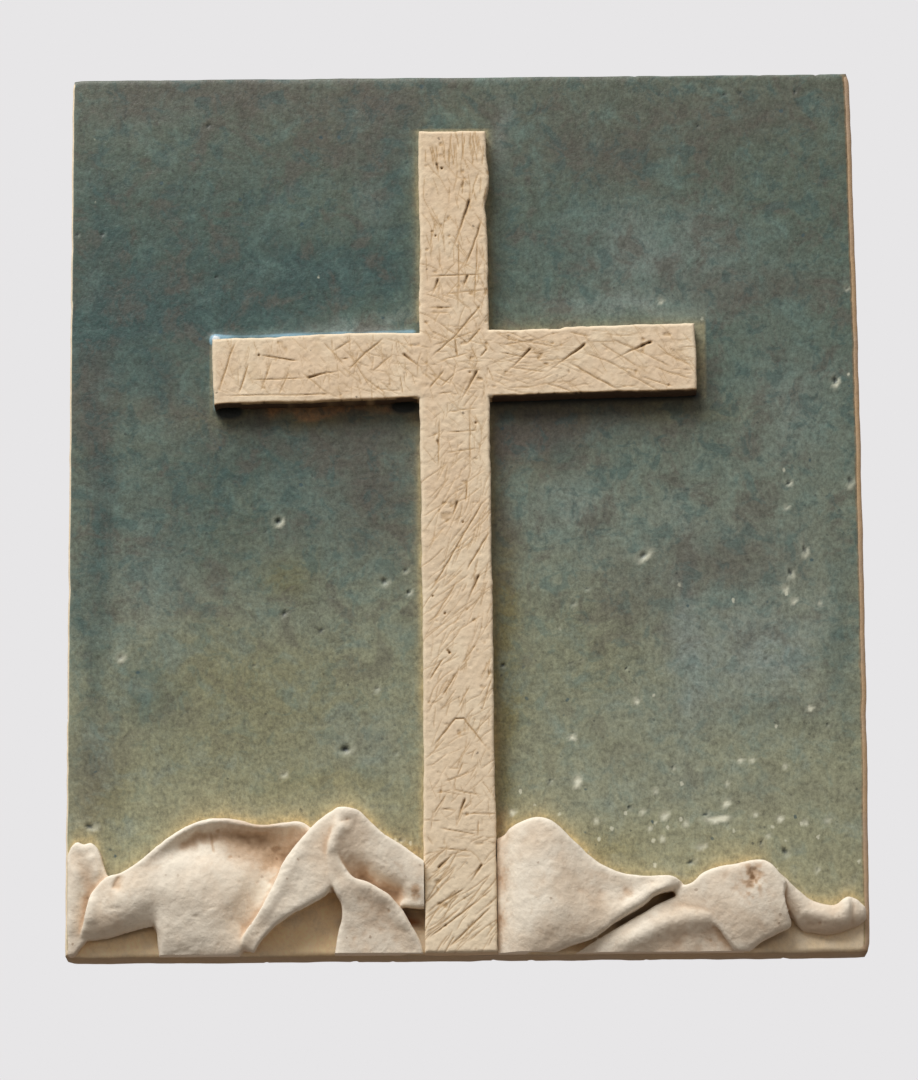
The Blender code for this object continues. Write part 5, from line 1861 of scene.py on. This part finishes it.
    def halo_marks(self, x: np.ndarray, z: np.ndarray) -> tuple[np.ndarray, np.ndarray]:
        """How far the glaze has thinned to ochre, and where the clay is bare below the draperies."""
        s = self.sizes
        spread = flat_rows(x, z)
        wobble = layered_noise(spread, 0.012, 3, self.seed + 40)
        halo = np.zeros_like(x)
        bare = np.zeros_like(x)
        for outline in self.outlines:
            crest = np.interp(x, outline[:, 0], outline[:, 1])
            within = smooth_step(x, outline[0, 0] - 0.001, outline[0, 0])
            within = within * smooth_step(-x, -outline[-1, 0] - 0.001, -outline[-1, 0])
            above = np.clip(z - crest - self.hidden_above, 0, 1)
            reach = 0.0040 + 0.0016 * wobble
            strength = 0.86 + 0.90 * layered_noise(spread, 0.013, 3, self.seed + 45)
            thinned = 0.45 * np.exp(-above / 0.0011) + 0.42 * np.exp(-above / reach)
            halo = np.maximum(halo, within * thinned * strength)
            bare = np.maximum(bare, within * smooth_step(crest - z, 0.0002, 0.0016))
        beam_x, _ = s.beam_point(z - s.bottom, 0.0)
        beside = np.abs(x - beam_x) - s.beam_width / 2
        on_beam = smooth_step(-z, -(s.bottom + s.beam_length + 0.002), -(s.bottom + s.beam_length))
        arm_mid = s.bottom + s.arm_rise + (x - s.foot_offset) * math.tan(s.arm_tilt)
        around_arm = np.abs(z - arm_mid) - s.arm_depth / 2
        on_arm = smooth_step(-np.abs(x - s.foot_offset), -s.arm_length / 2 - 0.002, -s.arm_length / 2)
        around_arm = np.where((z > arm_mid) & (x > s.foot_offset), around_arm / 2.2, around_arm)
        beside = np.minimum(np.where(on_beam > 0, beside, 1.0), np.where(on_arm > 0, around_arm, 1.0))
        thin = np.exp(-np.clip(beside - 0.0004, 0, 1) / 0.0008) * (0.62 + 0.5 * wobble)
        low = smooth_step(-z, -0.02, 0.08)
        left_arm = smooth_step(-x, -s.foot_offset, -s.foot_offset + 0.01) * on_arm * (around_arm < 0.004)
        halo = np.maximum(halo, thin * (0.50 + 0.50 * low) * (1 - left_arm))
        return halo, bare

    def middle(self) -> np.ndarray:
        """x and z of the slab's middle."""
        s = self.sizes
        return np.array([(s.left + s.right) / 2, (s.bottom + s.top) / 2])

    def border_wander(self, places: np.ndarray, edge: np.ndarray) -> np.ndarray:
        """The uneven run of the tile's cut edges, fading out 3 mm inside them."""
        near = 1.0 - smooth_step(edge, 0.0, 0.003)
        flat = places * np.array([1.0, 0.35, 1.0])
        shift_x = grain(flat, self.seed, (0.00026, 0.0070, 3, 60))
        shift_z = grain(flat, self.seed, (0.00026, 0.0070, 3, 70))
        nick = smooth_step(layered_noise(flat, 0.0032, 2, self.seed + 75), 0.48, 0.80)
        nick = nick * np.where(places[:, 2] > 0.10, 0.0006, 0.0003)
        middle = self.middle()
        moved = places.copy()
        moved[:, 0] += (shift_x - nick * np.sign(places[:, 0] - middle[0])) * near
        moved[:, 2] += (shift_z - nick * np.sign(places[:, 2] - middle[1])) * near
        return moved

    def build(self) -> bpy.types.Object:
        """Build the slab as a face grid, a rolled edge, side walls and a flat back."""
        s = self.sizes
        x, z = self.face_grid()
        flat_x, flat_z = x.ravel(), z.ravel()
        pit_height, dark, pale = self.pit_marks(flat_x, flat_z)
        halo, bare = self.halo_marks(flat_x, flat_z)
        bead, bead_height = self.bead(flat_x, flat_z)
        marks = self.tint_marks(flat_x, flat_z)
        spread = flat_rows(flat_x, flat_z)
        height = grain(spread, self.seed, (0.00016, 0.030, 2, 0), (0.00007, 0.0060, 3, 2))
        height += pit_height + bead_height
        ids = np.arange(x.size).reshape(x.shape)
        border = np.concatenate((ids[:, 0], ids[-1, 1:], ids[-2::-1, -1], ids[0, -2:0:-1]))
        edge = np.minimum(
            np.minimum(flat_x - flat_x.min(), flat_x.max() - flat_x),
            np.minimum(flat_z - flat_z.min(), flat_z.max() - flat_z),
        )
        height *= smooth_step(edge, -0.0004, 0.0012)
        places = np.stack((flat_x, s.face - height, flat_z), axis=-1)
        inner = places[border]
        outward = self.outward(inner)
        rolls = self.roll_widths(inner)
        rows, depths = [places], []
        back = self.roll_steps + self.wall_steps + 1
        middle = self.middle()
        for step in range(1, back + 1):
            level = inner.copy()
            if step <= self.roll_steps:
                angle = math.pi / 2 * step / self.roll_steps
                grow, y = math.sin(angle), s.face + s.roll_depth * (1 - math.cos(angle))
            else:
                share = min((step - self.roll_steps) / self.wall_steps, 1.0)
                grow, y = 1.0, s.face + s.roll_depth + (0.0 - s.face - s.roll_depth) * share
            level[:, 0] += outward[:, 0] * rolls * grow
            level[:, 2] += outward[:, 1] * rolls * grow
            level[:, 1] = y
            if step == back:
                level[:, [0, 2]] = middle + (level[:, [0, 2]] - middle) * self.back_share
            rows.append(level)
            depths.append(np.full(len(level), step / self.roll_steps))
        fill = back * len(border)
        all_places = self.border_wander(np.vstack(rows), np.concatenate((edge, np.zeros(fill))))
        all_places = self.bowed(self.rounded(all_places))
        piece = ringed_slab("glazed_tile", all_places, grid_faces(ids), border, back)
        piece.data.set_sharp_from_angle(angle=math.radians(50))
        on_wall = np.concatenate(depths)
        sides = np.tile(outward, (back, 1))
        wall_bare, wall_pale, wall_shade, wall_rust = self.wall_marks(on_wall, sides)
        tails = {name: np.resize(mark[border], fill) for name, mark in {"halo": halo, **marks}.items()}
        tails |= {"bare": wall_bare, "pale": wall_pale, "dark": wall_shade, "bead": np.zeros(fill)}
        tails[Tint.RUST.value] = tails[Tint.RUST.value] + wall_rust
        on_back = on_wall > (back - 0.5) / self.roll_steps
        for name, tail in tails.items():
            tails[name] = np.where(on_back, self.back_marks.get(name, 0.0), tail)
        values = {"bare": bare, "pale": pale, "dark": dark, "bead": bead, "halo": halo, **marks}
        for name, tail in tails.items():
            write_attribute(piece, name, np.concatenate((values[name], tail)))
        return piece

    @staticmethod
    def wall_marks(depth: np.ndarray, sides: np.ndarray) -> tuple[np.ndarray, ...]:
        """How bare, pale, shaded and rusty the rolled edge and the walls are.

        Args:
            depth: 0 at the face, 1 at the end of the roll, more down the wall.
            sides: outward direction of each point.

        Returns:
            The glaze runs over the top edge. The left edge is rubbed to a pale line and the right one to
            rusty bare clay; the pale on the left and top sides, which face the light, is partly a painted
            highlight. The lower one is bare, with painted shade underneath.
        """
        bare = np.where(sides[:, 0] > 0, smooth_step(depth, 0.05, 0.35), smooth_step(depth, 0.12, 0.50))
        bare = np.where(sides[:, 1] > 0, smooth_step(depth, 0.75, 1.2), bare)
        bare = np.where(sides[:, 1] < 0, 1.0, bare)
        pale = np.where(sides[:, 0] < 0, 0.9, np.where(sides[:, 0] > 0, 0.0, 0.10))
        pale = np.where(sides[:, 1] > 0, 0.8, pale)
        # Painted shade on the underside.
        painted_clay_shade = np.where(sides[:, 1] < 0, 0.62 * smooth_step(depth, 0.4, 0.95), 0.0)
        rust = np.where(sides[:, 0] > 0, 0.62, 0.0)
        return bare, pale * bare, painted_clay_shade, rust

    def bead(self, x: np.ndarray, z: np.ndarray) -> tuple[np.ndarray, np.ndarray]:
        """The bead of blue-white glaze that pooled along the top of the crossbar's left half."""
        s = self.sizes
        left_x, left_z = s.arm_point(-s.arm_length / 2 + 0.0003, s.arm_depth / 2 + self.hidden_above)
        right_x, right_z = s.arm_point(-s.beam_width / 2 - 0.0015, s.arm_depth / 2 + self.hidden_above)
        away, along = distance_to_path(x, z, np.array([[left_x, left_z], [right_x, right_z]]))
        spread = flat_rows(x, z)
        thick = 0.55 + 0.45 * layered_noise(spread, 0.009, 2, self.seed + 80) + 0.5 * np.exp(-along / 0.08)
        lump = np.exp(-(((x - left_x) ** 2 + (z - left_z + 0.0008) ** 2) / 0.0013 ** 2))
        end_x, end_z = s.arm_point(-s.arm_length / 2 - 0.0002, -s.arm_depth / 2)
        beside, _ = distance_to_path(x, z, np.array([[left_x - 0.0005, left_z], [end_x, end_z]]))
        bead = np.exp(-((away / 0.0008) ** 2)) * np.clip(thick, 0.25, 1.0) + 0.9 * lump
        bead = np.maximum(bead, 0.32 * np.exp(-((beside / 0.0007) ** 2)))
        return bead, bead * 0.0006

    @staticmethod
    def outward(ring: np.ndarray) -> np.ndarray:
        """Outward direction of each point of a rectangular ring, square to its side."""
        low_x, high_x = ring[:, 0].min(), ring[:, 0].max()
        low_z, high_z = ring[:, 2].min(), ring[:, 2].max()
        tiny = 1e-6
        step_x = (ring[:, 0] > high_x - tiny) * 1.0 - (ring[:, 0] < low_x + tiny) * 1.0
        step_z = (ring[:, 2] > high_z - tiny) * 1.0 - (ring[:, 2] < low_z + tiny) * 1.0
        return np.stack((step_x, step_z), axis=-1)

    def roll_widths(self, ring: np.ndarray) -> np.ndarray:
        """Width of the rolled edge at each point of the ring: one for each side, shared at corners."""
        s = self.sizes
        outward = self.outward(ring)
        wide_x = np.where(outward[:, 0] > 0, s.roll_right, s.roll_left) * np.abs(outward[:, 0])
        wide_z = np.where(outward[:, 1] > 0, s.roll_top, s.roll_bottom) * np.abs(outward[:, 1])
        return np.where(np.abs(outward).sum(axis=1) > 1, (wide_x + wide_z) / 2, wide_x + wide_z)

    def rounded(self, places: np.ndarray) -> np.ndarray:
        """Turn the slab's square corners into quarter circles, by scaling max-norm to length."""
        s = self.sizes
        radius = s.corner_radius + s.roll_right
        moved = places.copy()
        mid_x, mid_z = self.middle()
        half_x, half_z = (s.right - s.left) / 2 - radius, (s.top - s.bottom) / 2 - radius
        over_x = np.clip(np.abs(places[:, 0] - mid_x) - half_x, 0.0, None)
        over_z = np.clip(np.abs(places[:, 2] - mid_z) - half_z, 0.0, None)
        length = np.hypot(over_x, over_z)
        scale = np.where(length > 0, np.maximum(over_x, over_z) / np.maximum(length, 1e-9), 1.0)
        softened = 1 - (1 - scale) * 0.45
        both = (over_x > 0) & (over_z > 0)
        curved_x = mid_x + np.sign(places[:, 0] - mid_x) * (half_x + over_x * softened)
        curved_z = mid_z + np.sign(places[:, 2] - mid_z) * (half_z + over_z * softened)
        moved[:, 0] = np.where(both, curved_x, places[:, 0])
        moved[:, 2] = np.where(both, curved_z, places[:, 2])
        return moved

    def bowed(self, places: np.ndarray) -> np.ndarray:
        """Draw the right side in at its ends, so it swells along half a sine wave."""
        s = self.sizes
        share = (places[:, 2] - s.bottom) / (s.top - s.bottom)
        draw = s.side_bow * (1 - np.sin(math.pi * np.clip(share, 0, 1)))
        near_right = smooth_step(places[:, 0], s.right - 0.03, s.right - 0.002)
        moved = places.copy()
        moved[:, 0] -= draw * near_right
        return moved

    def dress(self, piece: bpy.types.Object, material: bpy.types.Material) -> None:
        """Give the tile its glaze and tie it to the frame."""
        piece.data.materials.append(material)
        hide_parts("tile")
        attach(piece, ROOT)


# The studio


@dataclass(frozen=True)
class Studio:
    """A pale floor well below the plaque and a dim room with a large window to the upper left."""

    floor_drop: float = 2.6
    floor_size: float = 2.0
    above: Colour = (0.45, 0.45, 0.455)
    level: Colour = (0.39, 0.355, 0.315)
    below: Colour = (0.100, 0.072, 0.050)
    backdrop: Colour = (0.80, 0.79, 0.80)
    under_backdrop: Colour = (0.30, 0.215, 0.160)
    window: Colour = (-0.74, -1.22, 1.70)
    window_size: float = 1.2
    window_power: float = 51.0
    window_tint: Colour = (1.0, 0.985, 0.96)
    paint: PlainFinish = PlainFinish("floor_paint", (0.70, 0.70, 0.69))

    def build(self) -> None:
        """Make the floor, the window and the room."""
        half = self.floor_size / 2
        corners = [(-half, -half), (half, -half), (half, half), (-half, half)]
        places = np.array([(x, y, -self.floor_drop) for x, y in corners])
        floor = mesh_piece("floor", places, [[0, 1, 2, 3]])
        floor.data.materials.append(self.paint.build())
        data = bpy.data.lights.new("window", "AREA")
        data.shape = "SQUARE"
        data.size = self.window_size
        data.energy = self.window_power
        data.color = self.window_tint
        light = bpy.data.objects.new("window", data)
        light.location = self.window
        light.rotation_euler = Vector(self.window).to_track_quat("Z", "Y").to_euler()
        bpy.context.scene.collection.objects.link(light)
        self.room()

    def room(self) -> None:
        """Make the world: its colour depends on how far up and how far to the back it lies."""
        world = bpy.data.worlds.new("room")
        world.use_nodes = True
        bpy.context.scene.world = world
        bench = Bench.for_world(world)
        direction = bench.node("ShaderNodeTexCoord", {}, {}).outputs["Generated"]
        split = bench.node("ShaderNodeSeparateXYZ", {}, {0: Channel(bench, direction)})
        back, up = Channel(bench, split.outputs["Y"]), Channel(bench, split.outputs["Z"])
        front = bench.mix(bench.step(up, -0.30, 0.10), self.below, self.level)
        front = bench.mix(bench.step(up, 0.05, 0.75), front, self.above)
        rear = bench.mix(bench.step(up, -0.20, 0.02), self.under_backdrop, self.backdrop)
        colour = bench.mix(bench.step(back, 0.15, 0.60), front, rear)
        bench.tree.links.new(colour.socket, world.node_tree.nodes["Background"].inputs[0])


def report(piece: bpy.types.Object) -> None:
    """Log a piece's name and how many triangles it has."""
    triangles = sum(len(polygon.vertices) - 2 for polygon in piece.data.polygons)
    log.info("%s: %d triangles", piece.name, triangles)


def main() -> None:
    """Build the camera, the studio and the plaque's four pieces."""
    logging.basicConfig(level=logging.INFO, format="%(name)s: %(message)s")
    bpy.context.scene.view_settings.view_transform = "Standard"
    camera = PhotoCamera()
    camera.build()
    Studio().build()
    sizes = PlaqueSizes.from_frame()
    # Warm and deep colour the painted shade in the hollows as well as real marks.
    drape_clay = BisqueFinish(
        "drapery_bisque", skin=(0.82, 0.69, 0.54), pale=(0.91, 0.83, 0.70), warm=(0.62, 0.445, 0.30),
        deep=(0.28, 0.16, 0.08), grit_height=0.00020,
    ).build()
    # The cross's deep is the near black of the painted shade under the crossbar.
    cross_clay = BisqueFinish(
        "cross_bisque", skin=(0.78, 0.61, 0.43), pale=(0.88, 0.76, 0.57), warm=(0.54, 0.37, 0.20),
        deep=(0.08, 0.045, 0.025), cloudiness=0.5,
    ).build()

    half_foot = sizes.beam_width / 2
    left = Drapery(
        "left_folds", "left_drapery", sizes, sizes.left + sizes.roll_left, sizes.foot_offset - half_foot,
        sizes.rise_left, LEFT_SHEETS, LEFT_CREASES, LEFT_STAINS_AND_SHADING, seed=11,
    )
    right = Drapery(
        "right_folds", "right_drapery", sizes, sizes.foot_offset + half_foot,
        sizes.right - sizes.roll_right, sizes.rise_right, RIGHT_SHEETS, RIGHT_CREASES, RIGHT_STAINS_AND_SHADING, seed=23,
    )
    outlines = []
    for drapery in (left, right):
        piece = drapery.build()
        drapery.dress(piece, drape_clay)
        report(piece)
        outlines.append(drapery.crest_line())

    cross = ScoredCross(sizes, camera)
    cross_piece = cross.build()
    cross.dress(cross_piece, cross_clay)
    report(cross_piece)

    tile = GlazedTile(sizes, camera, tuple(outlines))
    tile_piece = tile.build()
    tile.dress(tile_piece, GlazeFinish().build())
    report(tile_piece)


if __name__ == "__main__":
    main()
